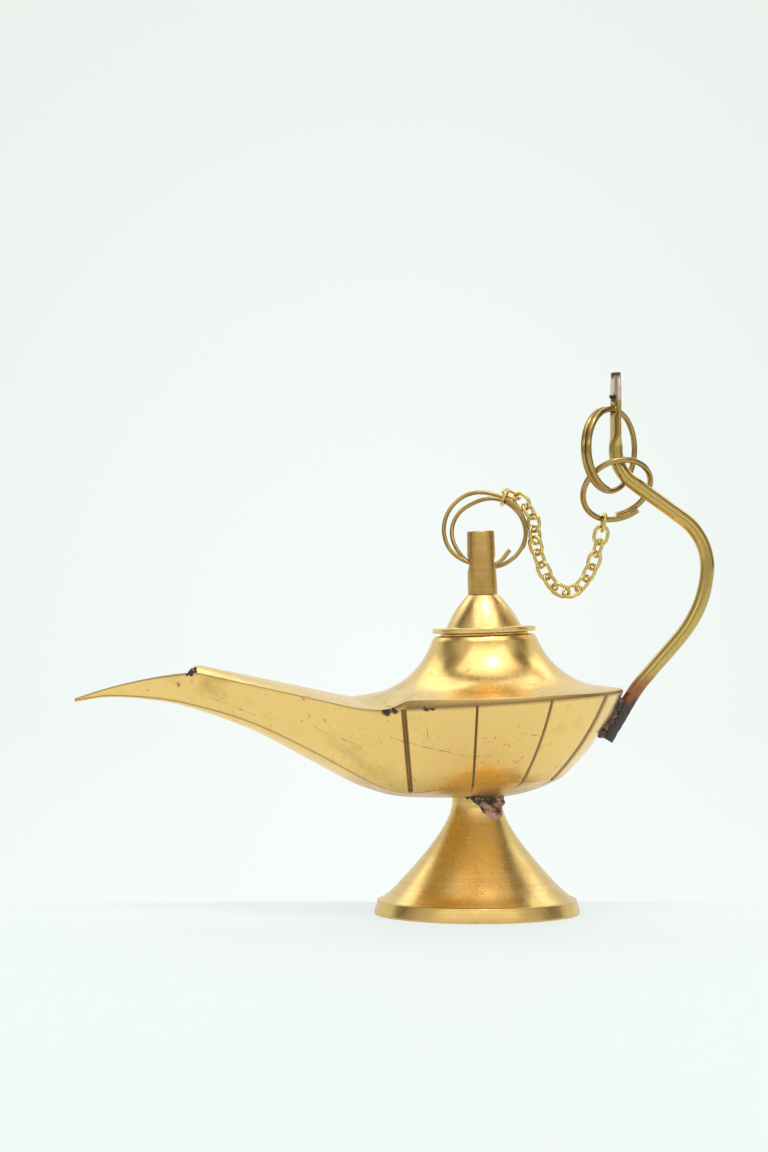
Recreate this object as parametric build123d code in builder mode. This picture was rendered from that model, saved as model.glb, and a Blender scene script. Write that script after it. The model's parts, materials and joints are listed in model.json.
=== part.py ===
"""Small brass genie lamp: a panelled bowl drawn out into a spout, on a flared foot, with a chained lid.

Millimetres. The origin is on the floor at the foot's axis, +Z is up, the spout points to -X
and the handle stands at +X.
"""
import os
from math import asin, atan, cos, degrees, floor, hypot, radians, sin, sqrt, tan

from build123d import *

os.makedirs("parts", exist_ok=True)

# Foot
foot_radius = 24.2
foot_band_height = 3.4
foot_band_batter = 0.8
foot_shoulder_step = 0.7
foot_waist_radius = 13.4
foot_waist_height = 12.8
foot_neck_radius = 5.9
foot_neck_length = 3.4
foot_height = 27.2
foot_wall = 1.6

# Bowl, whose axis stands a little behind the foot's
bowl_offset = 2.2
bowl_radius = 31.2
bowl_depth = 23.0
bowl_wall = 1.4
knuckle_radius = 17.5
knuckle_rise = 4.6
rim_flare = 23.5
rim_slope = 3.8
groove_radius = 0.6
groove_root_radius = 0.8
groove_first_angle = 31.5
groove_spacing = 32.0
groove_pairs = 3

# Spout, its heights taken from the bowl's rim
spout_length = 96.7
spout_tip_rise = 0.2
spout_tip_half_width = 0.6
spout_lip_length = 29.5
spout_lip_bow = 1.1
spout_peak_rise = 6.4
spout_waist_share = 0.89
spout_waist_blend = 40.0
spout_root_angle = 127.5
spout_taper_power = 1.6
spout_roof_lap = 1.5
spout_roof_crown = 1.6
spout_roof_wall = 1.1
spout_channel_start = 0.06

# Spout stations, with one more at the spout's root: share of the way from the tip to the bowl's
# axis, then the heights of the chine and of the keel, as shares of the tip's height over the
# bowl's underside
spout_stations = (
    (0.00, 0.985, 0.965),
    (0.08, 1.03, 1.015),
    (0.19, 1.01, 0.985),
    (0.28, 0.95, 0.91),
    (0.43, 0.77, 0.685),
    (0.58, 0.485, 0.36),
    (0.67, 0.29, 0.16),
    (0.75, 0.125, 0.045),
    (0.91, 0.14, 0.0),
)
spout_root_lap = 0.62
spout_root_heights = (0.08, 0.01)

# Top cover, spun, tilted less than the bowl's rim
cover_tilt = 2.0
cover_overhang = 0.8
cover_edge_height = 1.5
cover_edge_wall = 1.6
cover_flare_radius = 25.0
cover_flare_height = 2.6
cover_throat_radius = 15.6
cover_throat_height = 7.6
cover_neck_radius = 12.0
cover_neck_height = 15.2
cover_wall = 1.4

# Lid and its stem
lid_flange_radius = 12.1
lid_flange_thickness = 1.8
lid_bell_radius = 8.9
lid_bell_waist_radius = 6.75
lid_bell_waist_height = 5.6
lid_top_radius = 3.7
lid_height = 9.4
lid_plug_clearance = 0.35
lid_plug_depth = 4.5
lid_plug_wall = 1.3
lid_crown_thickness = 0.9
stem_radius = 3.5
stem_top_radius = 3.2
stem_height = 15.0
stem_tenon_radius = 1.8
stem_tenon_length = 4.0
stem_hole_height = 7.4
stem_chamfer = 0.35

# Lid ring, a split wire ring that stands in the stem's hole and leans back
lid_ring_radius = 9.2
lid_ring_wire = 1.0
lid_ring_gap = 0.45
lid_ring_spread = 0.6
lid_ring_lean = 22.0
lid_ring_sway = 10.0
lid_ring_turn_start = -42.0
lid_ring_turn_end = 655.0
stem_hole_clearance = 0.55

# Chain
chain_wire = 0.8
chain_inner_length = 3.4
chain_inner_width = 2.4
chain_slack = 0.3
chain_open_slack = 0.7
chain_roll = 45.0
chain_ring_links = 6
chain_free_links = 12
chain_hook_angle = 206.0
chain_ring_hook_angle = 10.0
chain_twist_links = 5
chain_hook_play = 0.5
chain_ring_stand_off = 2.3
chain_wire_sides = 6

# Handle: a rod in the plane of symmetry. Its bends are measured back from the stern of the bowl
# and up from the rim
handle_rod = 3.4
handle_seat_gap = 0.35
handle_seat_depth = 8.2
handle_seat_top = 0.7
handle_leave_rise = 2.8
handle_bends = ((19.75, 20.9), (21.5, 37.8))
handle_neck_rise = 53.8
handle_bend_radii = (30.0, 27.0, 14.0, 9.4)
handle_eye_in = 0.8
handle_shoulder_length = 5.4
handle_taper_length = 3.4
handle_tip_length = 8.8
handle_flat_thickness = 1.7
handle_flat_width = 4.8
handle_flat_turn = 25.0
handle_eye_length = 5.4
handle_eye_radius = 1.55

# Chain ring, an open wire ring round the rod
chain_ring_radius = 8.4
chain_ring_wire = 1.4
chain_ring_gap = 0.45
chain_ring_turn_start = -50.0
chain_ring_turn_end = 345.0
chain_ring_shift = (0.3, 1.3, -4.3)
chain_ring_normal = (-0.33, 1.0, 0.8)

# Hanging ring, a wire ring of about a turn and a half through the handle's eye
hanging_ring_radius = 9.6
hanging_ring_wire = 1.35
hanging_ring_gap = 0.45
hanging_ring_turn = 50.0
hanging_ring_sway = 10.0
hanging_ring_lean = 0.0
hanging_ring_turn_start = 25.0
hanging_ring_turn_end = 535.0

# Solder. The foot's lumps are given by their angle from +X, drop under the bowl and share of the radius
solder_foot_radius = 2.3
solder_foot_lumps = ((-58, 2.0, 1.0), (-82, 1.0, 0.62), (-38, 3.2, 0.52))
solder_spout_radius = 1.1
solder_handle_width = 5.6

# Worked out from the sizes above
rim_margin = 4.0
bowl_base = foot_height
rim_height = foot_height + bowl_depth
stern_x = bowl_offset + bowl_radius
spout_tip_x = bowl_offset - spout_length
spout_tip_height = rim_height + spout_tip_rise
spout_peak_x = spout_tip_x + spout_lip_length
spout_peak_height = rim_height + spout_peak_rise
spout_waist_x = bowl_offset - bowl_radius * spout_waist_share
spout_roof_front_x = spout_peak_x - spout_roof_lap
rim_rise = tan(radians(rim_slope))
spout_root_reach = bowl_radius * cos(radians(180 - spout_root_angle)) - spout_root_lap
root_station = (1 - spout_root_reach / spout_length, *spout_root_heights)
reach = 2 * bowl_radius
bowl_axis = Axis((bowl_offset, 0, 0), (0, 0, 1))
bowl_plane = Plane((bowl_offset, 0, 0), x_dir=(0, -1, 0), z_dir=(-1, 0, 0))


def rim_line(x):
    """Height of the bowl's rim plane at x."""
    return rim_height + (x - bowl_offset) * rim_rise


sheer_tip = (spout_tip_x, spout_tip_height)
sheer_peak = (spout_peak_x, spout_peak_height)
sheer_waist = (spout_waist_x, rim_line(spout_waist_x))
sheer_stern = (bowl_offset + reach, rim_line(bowl_offset + reach))
sheer_lip = (
    (spout_tip_x + spout_peak_x) / 2,
    (spout_tip_height + spout_peak_height) / 2 + spout_lip_bow,
)


def sheer_height(x):
    """Height of the seam between the lower and the upper shell at x."""
    line = (sheer_tip, sheer_lip, sheer_peak, sheer_waist, sheer_stern)
    for (x0, z0), (x1, z1) in zip(line, line[1:]):
        if x <= x1:
            return z0 + (z1 - z0) * (x - x0) / (x1 - x0)
    return sheer_stern[1]


# Everything below the seam, as a prism across the lamp
with BuildPart() as below_seam:
    with BuildSketch(Plane.XZ) as seam_side:
        with BuildLine():
            ThreePointArc(sheer_tip, sheer_lip, sheer_peak)
            FilletPolyline(sheer_peak, sheer_waist, sheer_stern, radius=spout_waist_blend)
            Line(sheer_stern, (sheer_stern[0], -foot_height))
            Line((sheer_stern[0], -foot_height), (spout_tip_x - reach, -foot_height))
            Line((spout_tip_x - reach, -foot_height), (spout_tip_x - reach, spout_tip_height))
            Line((spout_tip_x - reach, spout_tip_height), sheer_tip)
        make_face()
    extrude(amount=reach, both=True)


def bowl_profile(inset):
    """Points of the bowl's half section: above the rim, at the rim, at the knuckle, on the axis."""
    flare = tan(radians(rim_flare))
    top = (bowl_radius + rim_margin * flare - inset, rim_height + rim_margin)
    rim = (bowl_radius - inset, rim_height)
    knuckle = (knuckle_radius - 0.6 * inset, bowl_base + knuckle_rise + 0.8 * inset)
    keel = (0, bowl_base + inset)
    return top, rim, knuckle, keel


def circle_through(a, b, c):
    """Centre and radius of the circle through three points of a plane."""
    d = 2 * (a[0] * (b[1] - c[1]) + b[0] * (c[1] - a[1]) + c[0] * (a[1] - b[1]))
    squares = [p[0] ** 2 + p[1] ** 2 for p in (a, b, c)]
    x = (squares[0] * (b[1] - c[1]) + squares[1] * (c[1] - a[1]) + squares[2] * (a[1] - b[1])) / d
    z = (squares[0] * (c[0] - b[0]) + squares[1] * (a[0] - c[0]) + squares[2] * (b[0] - a[0])) / d
    return x, z, hypot(a[0] - x, a[1] - z)


def bowl_side(height, stand_off=0.0):
    """Point beside the back of the bowl at a height on its wall, stood off along the normal."""
    x, z, radius = circle_through(*bowl_profile(0)[:3])
    across = sqrt(radius**2 - (height - z) ** 2)
    scale = (radius + stand_off) / radius
    return bowl_offset + x + across * scale, z + (height - z) * scale


spout_root_x = bowl_offset + bowl_radius * cos(radians(spout_root_angle))
spout_root_half_width = bowl_radius * sin(radians(spout_root_angle))


def spout_half_width(x):
    """Half width of the lower shell at the seam: the bowl's circle, then the tapering spout."""
    if x >= spout_root_x:
        return sqrt(bowl_radius**2 - (x - bowl_offset) ** 2)
    share = (x - spout_tip_x) / (spout_root_x - spout_tip_x)
    gain = spout_root_half_width - spout_tip_half_width
    return spout_tip_half_width + gain * share**spout_taper_power


def thin_wall(half_width, wall):
    """The wall, drawn thin where the spout is hardly wider than it."""
    return wall * half_width / (half_width + wall)


def section_face(x, top, seam, chine, keel, straight):
    """Cross-section of the lower shell at x: open top, two sides, a rounded underside."""
    with BuildSketch(Plane((x, 0, 0), x_dir=(0, 1, 0), z_dir=(1, 0, 0))) as section:
        with BuildLine():
            Line((-top[0], top[1]), top)
            for side in (1, -1):
                edge = [(side * p[0], p[1]) for p in (top, seam, chine)]
                if straight:
                    Line(edge[0], edge[2])
                else:
                    ThreePointArc(*edge)
            ThreePointArc((-chine[0], chine[1]), keel, chine)
        make_face()
    return section.sketch


def spout_points(share, chine_share, keel_share, inset):
    """Place of one station of the spout, and its points above the seam, on it, at the chine and keel."""
    x = spout_tip_x + (bowl_offset - spout_tip_x) * share
    half = spout_half_width(x)
    thin = thin_wall(half * knuckle_radius / bowl_radius, inset) if inset else 0
    lift = spout_tip_height - bowl_base
    seam = (half - thin, sheer_height(x))
    chine = (half * knuckle_radius / bowl_radius - thin, bowl_base + lift * chine_share + 0.7 * thin)
    keel = (0, bowl_base + lift * keel_share + thin)
    chord = (seam[0] - chine[0]) / (seam[1] - chine[1])
    straight = x < spout_root_x
    flare = chord if straight else tan(radians(rim_flare))
    top = (seam[0] + rim_margin * flare, seam[1] + rim_margin)
    return x, top, seam, chine, keel, straight


def hull(inset, first_share):
    """The lower shell as a solid: half a bowl turned about its axis, and the spout lofted to it."""
    top, rim, knuckle, keel = bowl_profile(inset)
    base_radius = circle_through(knuckle, keel, (-knuckle[0], knuckle[1]))[2]
    stations = sorted(spout_stations + (root_station,))
    sections = [section_face(*spout_points(*s, inset)) for s in stations if s[0] >= first_share]
    sections.append(section_face(bowl_offset, top, rim, knuckle, keel, False))
    with BuildPart() as spout:
        for section in sections:
            add(section)
        loft()
    with BuildPart() as body:
        with BuildSketch(bowl_plane):
            with BuildLine():
                ThreePointArc(top, rim, knuckle)
                RadiusArc(knuckle, keel, base_radius)
                Line(keel, (0, top[1]))
                Line((0, top[1]), top)
            make_face()
        revolve(axis=bowl_axis, revolution_arc=180)
        add(spout.part)
    return body.part


# One panel groove up the side of the bowl, and one down the root of the spout
with BuildPart() as panel_groove:
    with BuildLine(Plane((bowl_offset, 0, 0), x_dir=(1, 0, 0), z_dir=(0, -1, 0))) as groove_line:
        ThreePointArc(*bowl_profile(0)[:3])
    with BuildSketch(Plane(groove_line.line @ 0, z_dir=groove_line.line % 0)):
        Circle(groove_radius)
    sweep(path=groove_line.line)

with BuildPart() as root_groove:
    root_points = spout_points(*root_station, 0)
    with BuildLine(Plane((root_points[0], 0, 0), x_dir=(0, 1, 0), z_dir=(1, 0, 0))) as root_line:
        ThreePointArc(*root_points[1:4])
    with BuildSketch(Plane(root_line.line @ 0, z_dir=root_line.line % 0)):
        Circle(groove_root_radius)
    sweep(path=root_line.line)

groove_angles = [groove_first_angle + groove_spacing * i for i in range(groove_pairs)]

with BuildPart() as bowl:
    add(hull(0, 0))
    add(hull(bowl_wall, spout_channel_start), mode=Mode.SUBTRACT)
    add(below_seam.part, mode=Mode.INTERSECT)
    for angle in groove_angles:
        for side in (angle, -angle):
            add(panel_groove.part.rotate(bowl_axis, side), mode=Mode.SUBTRACT)
    add(root_groove.part, mode=Mode.SUBTRACT)
    add(root_groove.part.mirror(Plane.XZ), mode=Mode.SUBTRACT)
bowl.part.label = "bowl"
export_step(bowl.part, "parts/bowl.step")

# Foot, spun, hollow underneath, its neck trimmed to the bowl
with BuildPart() as foot:
    band_top = (foot_radius - foot_band_batter, foot_band_height)
    shoulder = (band_top[0] - foot_shoulder_step, foot_band_height)
    neck_low = (foot_neck_radius, foot_height - foot_neck_length)
    neck_top = (foot_neck_radius, bowl_base + bowl_wall / 2)
    hollow_rim = (foot_radius - foot_band_batter - foot_wall, 0)
    hollow_waist = (foot_waist_radius - foot_wall, foot_waist_height - foot_wall / 2)
    hollow_top = (foot_neck_radius - foot_wall, neck_low[1] - foot_wall)
    with BuildSketch(Plane.XZ):
        with BuildLine():
            Polyline(hollow_rim, (foot_radius, 0), band_top, shoulder)
            ThreePointArc(shoulder, (foot_waist_radius, foot_waist_height), neck_low)
            Polyline(neck_low, neck_top, (0, neck_top[1]), (0, hollow_top[1]), hollow_top)
            ThreePointArc(hollow_top, hollow_waist, (hollow_rim[0], foot_band_height / 2))
            Line((hollow_rim[0], foot_band_height / 2), hollow_rim)
        make_face()
    revolve(axis=Axis.Z)
    add(bowl.part, mode=Mode.SUBTRACT)
foot.part.label = "foot"
export_step(foot.part, "parts/foot.step")

# Top cover: a spun dome with a neck, and the roof of the spout, both trimmed to the seam
tilt = radians(cover_tilt)
up = Vector(-sin(tilt), 0, cos(tilt))
along = Vector(cos(tilt), 0, sin(tilt))
back = Vector(0, 1, 0)
cover_origin = Vector(bowl_offset, 0, rim_height)
cover_axis = Axis(cover_origin, up)
cover_side = Plane(cover_origin, x_dir=along, z_dir=-back)
cover_edge_radius = bowl_radius + cover_overhang
flare_point = (cover_flare_radius, cover_flare_height)
throat_point = (cover_throat_radius, cover_throat_height)
neck_point = (cover_neck_radius, cover_neck_height)
bell_x, bell_z, bell_radius = circle_through(flare_point, throat_point, neck_point)


def bell_inside(point):
    """A point of the dome's outer curve moved through the wall."""
    scale = (bell_radius + cover_wall) / bell_radius
    return bell_x + (point[0] - bell_x) * scale, bell_z + (point[1] - bell_z) * scale


bore_radius = bell_x - sqrt((bell_radius + cover_wall) ** 2 - (cover_neck_height - bell_z) ** 2)
bore_point = (bore_radius, cover_neck_height)


def dome(edge, edge_top, flare, throat, neck):
    """The dome as a solid of revolution, from below the rim up to the top of the neck."""
    with BuildPart() as solid:
        with BuildSketch(cover_side):
            with BuildLine():
                Polyline((0, -rim_margin), (edge, -rim_margin), (edge, edge_top), flare)
                ThreePointArc(flare, throat, neck)
                Polyline(neck, (0, neck[1]), (0, -rim_margin))
            make_face()
        revolve(axis=cover_axis)
    return solid.part


def roof_section(x, inset):
    """Cross-section of the spout's roof at x: a low arch on the seam, carried on below it."""
    half = spout_half_width(x)
    half -= thin_wall(half, inset) if inset else 0
    seam = sheer_height(x)
    low = seam - rim_margin
    with BuildSketch(Plane((x, 0, 0), x_dir=(0, 1, 0), z_dir=(1, 0, 0))) as section:
        with BuildLine():
            ThreePointArc((-half, seam), (0, seam + spout_roof_crown - inset), (half, seam))
            Polyline((half, seam), (half, low), (-half, low), (-half, seam))
        make_face()
    return section.sketch


def roof(inset, start):
    """The roof of the spout as a solid, from its front end to under the dome."""
    end = bowl_offset - cover_throat_radius
    steps = 6
    with BuildPart() as solid:
        for i in range(steps + 1):
            add(roof_section(start + (end - start) * i / steps, inset))
        loft()
    return solid.part


with BuildPart() as top_cover:
    add(dome(cover_edge_radius, cover_edge_height, flare_point, throat_point, neck_point))
    add(roof(0, spout_roof_front_x))
    inner_edge = cover_edge_radius - cover_edge_wall
    inner_top = cover_edge_height - cover_wall
    inner_bell = dome(inner_edge, inner_top, bell_inside(flare_point), bell_inside(throat_point), bore_point)
    add(inner_bell, mode=Mode.SUBTRACT)
    add(roof(spout_roof_wall, spout_roof_front_x - spout_roof_wall), mode=Mode.SUBTRACT)
    add(below_seam.part, mode=Mode.SUBTRACT)
top_cover.part.label = "top_cover"
export_step(top_cover.part, "parts/top_cover.step")

# Lid, seated on the neck, with a hollow plug inside it
lid_origin = cover_origin + up * cover_neck_height
lid_side = Plane(lid_origin, x_dir=along, z_dir=-back)
lid_top = lid_origin + up * lid_height
with BuildPart() as lid:
    plug_radius = bore_radius - lid_plug_clearance
    plug_bore = plug_radius - lid_plug_wall
    crown = lid_flange_thickness - lid_crown_thickness
    bell_foot = (lid_bell_radius, lid_flange_thickness)
    bell_waist = (lid_bell_waist_radius, lid_bell_waist_height)
    bell_top = (lid_top_radius, lid_height)
    with BuildSketch(lid_side):
        with BuildLine():
            Polyline((0, crown), (plug_bore, crown), (plug_bore, -lid_plug_depth))
            Line((plug_bore, -lid_plug_depth), (plug_radius, -lid_plug_depth))
            Polyline((plug_radius, -lid_plug_depth), (plug_radius, 0), (lid_flange_radius, 0))
            Polyline((lid_flange_radius, 0), (lid_flange_radius, lid_flange_thickness), bell_foot)
            ThreePointArc(bell_foot, bell_waist, bell_top)
            Polyline(bell_top, (0, lid_height), (0, crown))
        make_face()
    revolve(axis=Axis(lid_origin, up))
    with Locations(Plane(lid_top, z_dir=up)):
        Hole(radius=stem_tenon_radius, depth=stem_tenon_length)
lid.part.label = "lid"
export_step(lid.part, "parts/lid.step")

# Stem, a turned pin with a tenon in the lid and a cross hole for the ring
stem_hole_radius = lid_ring_wire + lid_ring_gap / 2 + stem_hole_clearance
hole_centre = lid_top + up * stem_hole_height
with BuildPart() as lid_stem:
    with BuildSketch(Plane(lid_top, x_dir=along, z_dir=-back)):
        with BuildLine():
            Polyline(
                (0, -stem_tenon_length),
                (stem_tenon_radius, -stem_tenon_length),
                (stem_tenon_radius, 0),
                (stem_radius, 0),
                (stem_top_radius, stem_height - stem_chamfer),
                (stem_top_radius - stem_chamfer, stem_height),
                (0, stem_height),
                close=True,
            )
        make_face()
    revolve(axis=Axis(lid_origin, up))
    with Locations(Plane(hole_centre, z_dir=along)):
        Hole(radius=stem_hole_radius)
lid_stem.part.label = "lid_stem"
export_step(lid_stem.part, "parts/lid_stem.step")


def ring_point(plane, radius, heights, angle):
    """A point on a wire ring's centre line: half turns, each on a circle tilted to the next height."""
    half_turn = floor(angle / 180)
    low = heights(half_turn)
    high = heights(half_turn + 1)
    side = 1 if half_turn % 2 == 0 else -1
    local = radians(angle - 180 * half_turn)
    reach_x = side * radius * cos(local)
    reach_y = side * hypot(radius, (high - low) / 2) * sin(local)
    return plane.from_local_coords(Vector(reach_x, reach_y, (low + high) / 2 + (low - high) / 2 * cos(local)))


def wire_ring(plane, radius, wire, heights, start, end):
    """A wire ring as one tube, swept along its half turns."""
    stops = [start] + [180 * k for k in range(floor(start / 180) + 1, floor(end / 180) + 1)] + [end]
    with BuildPart() as ring:
        with BuildLine() as centre_line:
            for a, b in zip(stops, stops[1:]):
                ThreePointArc(*[ring_point(plane, radius, heights, t) for t in (a, (a + b) / 2, b - 1e-9)])
        with BuildSketch(Plane(centre_line.line @ 0, z_dir=centre_line.line % 0)):
            Circle(wire / 2)
        sweep(path=centre_line.line)
    return ring.part


def least_gap(plane, radius, wire, heights, start, end):
    """Least gap between one turn of a wire ring and the next."""
    step = 3
    angles = range(int(start), int(end) + 1, step)
    line = [ring_point(plane, radius, heights, t) for t in angles]
    far = [(p - q).length for i, p in enumerate(line) for j, q in enumerate(line) if (j - i) * step > 180]
    return min(far) - wire


# Lid ring, through the stem's hole, its coils spread apart at the top
lean = radians(lid_ring_lean)
ring_up = up * cos(lean) + back * sin(lean)
ring_aside = lid_ring_radius * sin(radians(lid_ring_sway))
ring_lifts = [sqrt(lid_ring_radius**2 - (side * stem_radius - ring_aside) ** 2) for side in (1, -1)]
lid_ring_plane = Plane(
    hole_centre + along * ring_aside + ring_up * (sum(ring_lifts) / 2),
    x_dir=-ring_up,
    z_dir=ring_up.cross(along),
)


def lid_ring_heights(k):
    """Height of the lid ring's wire at its k-th half turn, even at the stem and odd at the top."""
    fan = lid_ring_spread / 2 * (k - 2) if k % 2 else 0
    return (lid_ring_wire + lid_ring_gap) * (k - 1) / 2 + fan


lid_ring_shape = (lid_ring_plane, lid_ring_radius, lid_ring_wire, lid_ring_heights)
lid_ring_shape += (lid_ring_turn_start, lid_ring_turn_end)
with BuildPart() as lid_ring:
    add(wire_ring(*lid_ring_shape))
lid_ring.part.label = "lid_ring"
export_step(lid_ring.part, "parts/lid_ring.step")
print("lid ring: least gap between its turns", round(least_gap(*lid_ring_shape), 2))

# Handle: a bent rod, flattened and pierced at its upper end
rod_radius = handle_rod / 2
eye_x = stern_x - handle_eye_in
neck_height = rim_height + handle_neck_rise
shoulder_height = neck_height + handle_shoulder_length
flat_height = shoulder_height + handle_taper_length
eye_height = flat_height + handle_eye_length
tip_height = eye_height + handle_tip_length
seat_low = bowl_side(rim_height - handle_seat_depth, rod_radius + handle_seat_gap)
seat_high = bowl_side(rim_height - handle_seat_top, rod_radius + handle_seat_gap)
leave_share = (rim_height + handle_leave_rise - seat_low[1]) / (seat_high[1] - seat_low[1])
leave_point = (seat_low[0] + (seat_high[0] - seat_low[0]) * leave_share, rim_height + handle_leave_rise)
rod_points = [seat_low, leave_point]
rod_points += [(stern_x + x, rim_height + z) for x, z in handle_bends]
rod_points += [(eye_x, neck_height), (eye_x, shoulder_height)]
eye_centre = Vector(eye_x, 0, eye_height)
eye_turn = radians(handle_flat_turn)
eye_way = Vector(cos(eye_turn), sin(eye_turn), 0)
with BuildPart() as handle:
    with BuildLine(Plane.XZ) as rod_line:
        FilletPolyline(*rod_points, radius=handle_bend_radii)
    with BuildSketch(Plane(rod_line.line @ 0, z_dir=rod_line.line % 0)):
        Circle(rod_radius)
    sweep(path=rod_line.line)
    with BuildSketch(Plane((eye_x, 0, shoulder_height), x_dir=eye_way, z_dir=(0, 0, 1))):
        Circle(rod_radius)
    with BuildSketch(Plane((eye_x, 0, flat_height), x_dir=eye_way, z_dir=(0, 0, 1))) as flat_section:
        Ellipse(handle_flat_thickness / 2, handle_flat_width / 2)
    loft()
    extrude(flat_section.sketch, amount=tip_height - flat_height)
    with Locations(Plane(eye_centre, z_dir=eye_way)):
        Hole(radius=handle_eye_radius)
handle.part.label = "handle"
export_step(handle.part, "parts/handle.step")

# Chain ring, round the rod below its flattened end
chain_ring_way = Vector(*chain_ring_normal).normalized()
down = Vector(0, 0, -1)
chain_ring_plane = Plane(
    Vector(eye_x, 0, neck_height) + Vector(*chain_ring_shift),
    x_dir=down - chain_ring_way * down.dot(chain_ring_way),
    z_dir=chain_ring_way,
)


def chain_ring_heights(k):
    """Height of the chain ring's wire at its k-th half turn, even at its lowest point."""
    return (chain_ring_wire + chain_ring_gap) * (k - 1) / 2


chain_ring_shape = (chain_ring_plane, chain_ring_radius, chain_ring_wire, chain_ring_heights)
chain_ring_shape += (chain_ring_turn_start, chain_ring_turn_end)
with BuildPart() as chain_ring:
    add(wire_ring(*chain_ring_shape))
chain_ring.part.label = "chain_ring"
export_step(chain_ring.part, "parts/chain_ring.step")
print("chain ring: least gap between its ends", round(least_gap(*chain_ring_shape), 2))

# Hanging ring, through the eye
ring_turn = radians(hanging_ring_turn)
ring_along = Vector(cos(ring_turn), sin(ring_turn), 0)
ring_across = Vector(-sin(ring_turn), cos(ring_turn), 0)
ring_lean = radians(hanging_ring_lean)
ring_sway = radians(hanging_ring_sway)
ring_drop = down * cos(ring_lean) + ring_across * sin(ring_lean)
ring_hang = ring_drop * cos(ring_sway) - ring_along * sin(ring_sway)
ring_face = ring_drop.cross(ring_along)
hanging_ring_plane = Plane(eye_centre + ring_hang * hanging_ring_radius, x_dir=-ring_hang, z_dir=ring_face)


def hanging_ring_heights(k):
    """Height of the hanging ring's wire at its k-th half turn, level in the eye at the second."""
    return (hanging_ring_wire + hanging_ring_gap) * (k - 2) / 2


hanging_ring_shape = (hanging_ring_plane, hanging_ring_radius, hanging_ring_wire, hanging_ring_heights)
hanging_ring_shape += (hanging_ring_turn_start, hanging_ring_turn_end)
with BuildPart() as hanging_ring:
    add(wire_ring(*hanging_ring_shape))
hanging_ring.part.label = "hanging_ring"
export_step(hanging_ring.part, "parts/hanging_ring.step")
print("hanging ring: least gap between its turns", round(least_gap(*hanging_ring_shape), 2))

# One chain link: an oval of wire
link_round = (chain_inner_width + chain_wire) / 2
link_straight = (chain_inner_length - chain_inner_width) / 2
link_end = link_straight + link_round
with BuildPart() as one_link:
    with BuildLine() as link_line:
        for side in (1, -1):
            first = (side * link_straight, -side * link_round)
            last = (side * link_straight, side * link_round)
            Line((-first[0], first[1]), first)
            ThreePointArc(first, (side * link_end, 0), last)
    with BuildSketch(Plane(link_line.line @ 0, z_dir=link_line.line % 0)):
        RegularPolygon(radius=chain_wire / 2, side_count=chain_wire_sides)
    sweep(path=link_line.line)

# Chain: where its links meet, first along the lid ring, then hanging to the chain ring
chain_pitch = chain_inner_length - chain_slack
hook_reach = lid_ring_radius + chain_ring_stand_off
hook_step = 2 * degrees(asin(chain_pitch / 2 / hook_reach))
hook_lead = degrees((chain_wire + chain_slack) / 2 / hook_reach)


def on_hook(angle, distance):
    """A point beside the lid ring, midway between its coils, at a distance from its middle."""
    coils = [ring_point(lid_ring_plane, lid_ring_radius, lid_ring_heights, angle + turn) for turn in (0, 360)]
    height = lid_ring_plane.to_local_coords((coils[0] + coils[1]) / 2).Z
    t = radians(angle)
    return lid_ring_plane.from_local_coords(Vector(distance * cos(t), distance * sin(t), height))


def hang(lengths, run, rise):
    """Slopes of a hanging chain's links, of these lengths, between ends a run and a rise apart."""
    steep = 60.0

    def slopes(first, growth):
        return [atan(first + growth * i) for i in range(len(lengths))]

    def level(growth):
        low, high = -steep * len(lengths), steep
        for _ in range(60):
            middle = (low + high) / 2
            reached = sum(n * sin(a) for n, a in zip(lengths, slopes(middle, growth)))
            low, high = (middle, high) if reached < rise else (low, middle)
        return slopes(low, growth)

    slack, taut = 0.0, steep
    for _ in range(60):
        middle = (slack + taut) / 2
        reached = sum(n * cos(a) for n, a in zip(lengths, level(middle)))
        slack, taut = (middle, taut) if reached > run else (slack, middle)
    return level(slack)


hook_radius = lid_ring_radius + chain_hook_play
hook_nodes = [on_hook(chain_hook_angle, hook_radius + link_round)]
hook_nodes += [on_hook(chain_hook_angle + hook_step * i, hook_reach) for i in range(1, chain_ring_links)]
ring_node = ring_point(chain_ring_plane, chain_ring_radius, chain_ring_heights, chain_ring_hook_angle)
open_play = chain_open_slack - chain_slack
free_lengths = [chain_pitch] * chain_free_links
free_lengths[0] -= open_play
free_lengths[-1] -= chain_slack / 2 + chain_ring_wire / 2
span = ring_node - hook_nodes[-1]
span_run = hypot(span.X, span.Y)
level_way = Vector(span.X / span_run, span.Y / span_run, 0)
free_ways = [level_way * cos(a) - down * sin(a) for a in hang(free_lengths, span_run, span.Z)]
free_nodes = [hook_nodes[-1]]
for way, length in zip(free_ways, free_lengths):
    free_nodes.append(free_nodes[-1] + way * length)

# Every link by its middle, its long axis and its face
hook_middle = on_hook(chain_hook_angle + hook_lead, hook_radius)
hook_side = lid_ring_plane.z_dir
link_places = [(hook_middle, hook_side, (hook_nodes[1] - hook_nodes[0]).normalized())]
for i in range(1, chain_ring_links):
    way = (hook_nodes[i] - hook_nodes[i - 1]).normalized()
    roll = radians(chain_roll if i % 2 else -chain_roll)
    face = hook_side * cos(roll) + hook_side.cross(way) * sin(roll)
    link_places.append(((hook_nodes[i] + hook_nodes[i - 1]) / 2, way, face))
chain_side = level_way.cross(down)
for i, way in enumerate(free_ways):
    from_ring = chain_free_links - 1 - i
    turn = 0 if from_ring % 2 else 90
    roll = radians(turn - chain_roll * min(1, from_ring / chain_twist_links))
    face = chain_side * cos(roll) + chain_side.cross(way) * sin(roll)
    start = free_nodes[i] - (way * open_play if i == 0 else way * 0)
    link_places.append((start + way * chain_pitch / 2, way, face))

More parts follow.
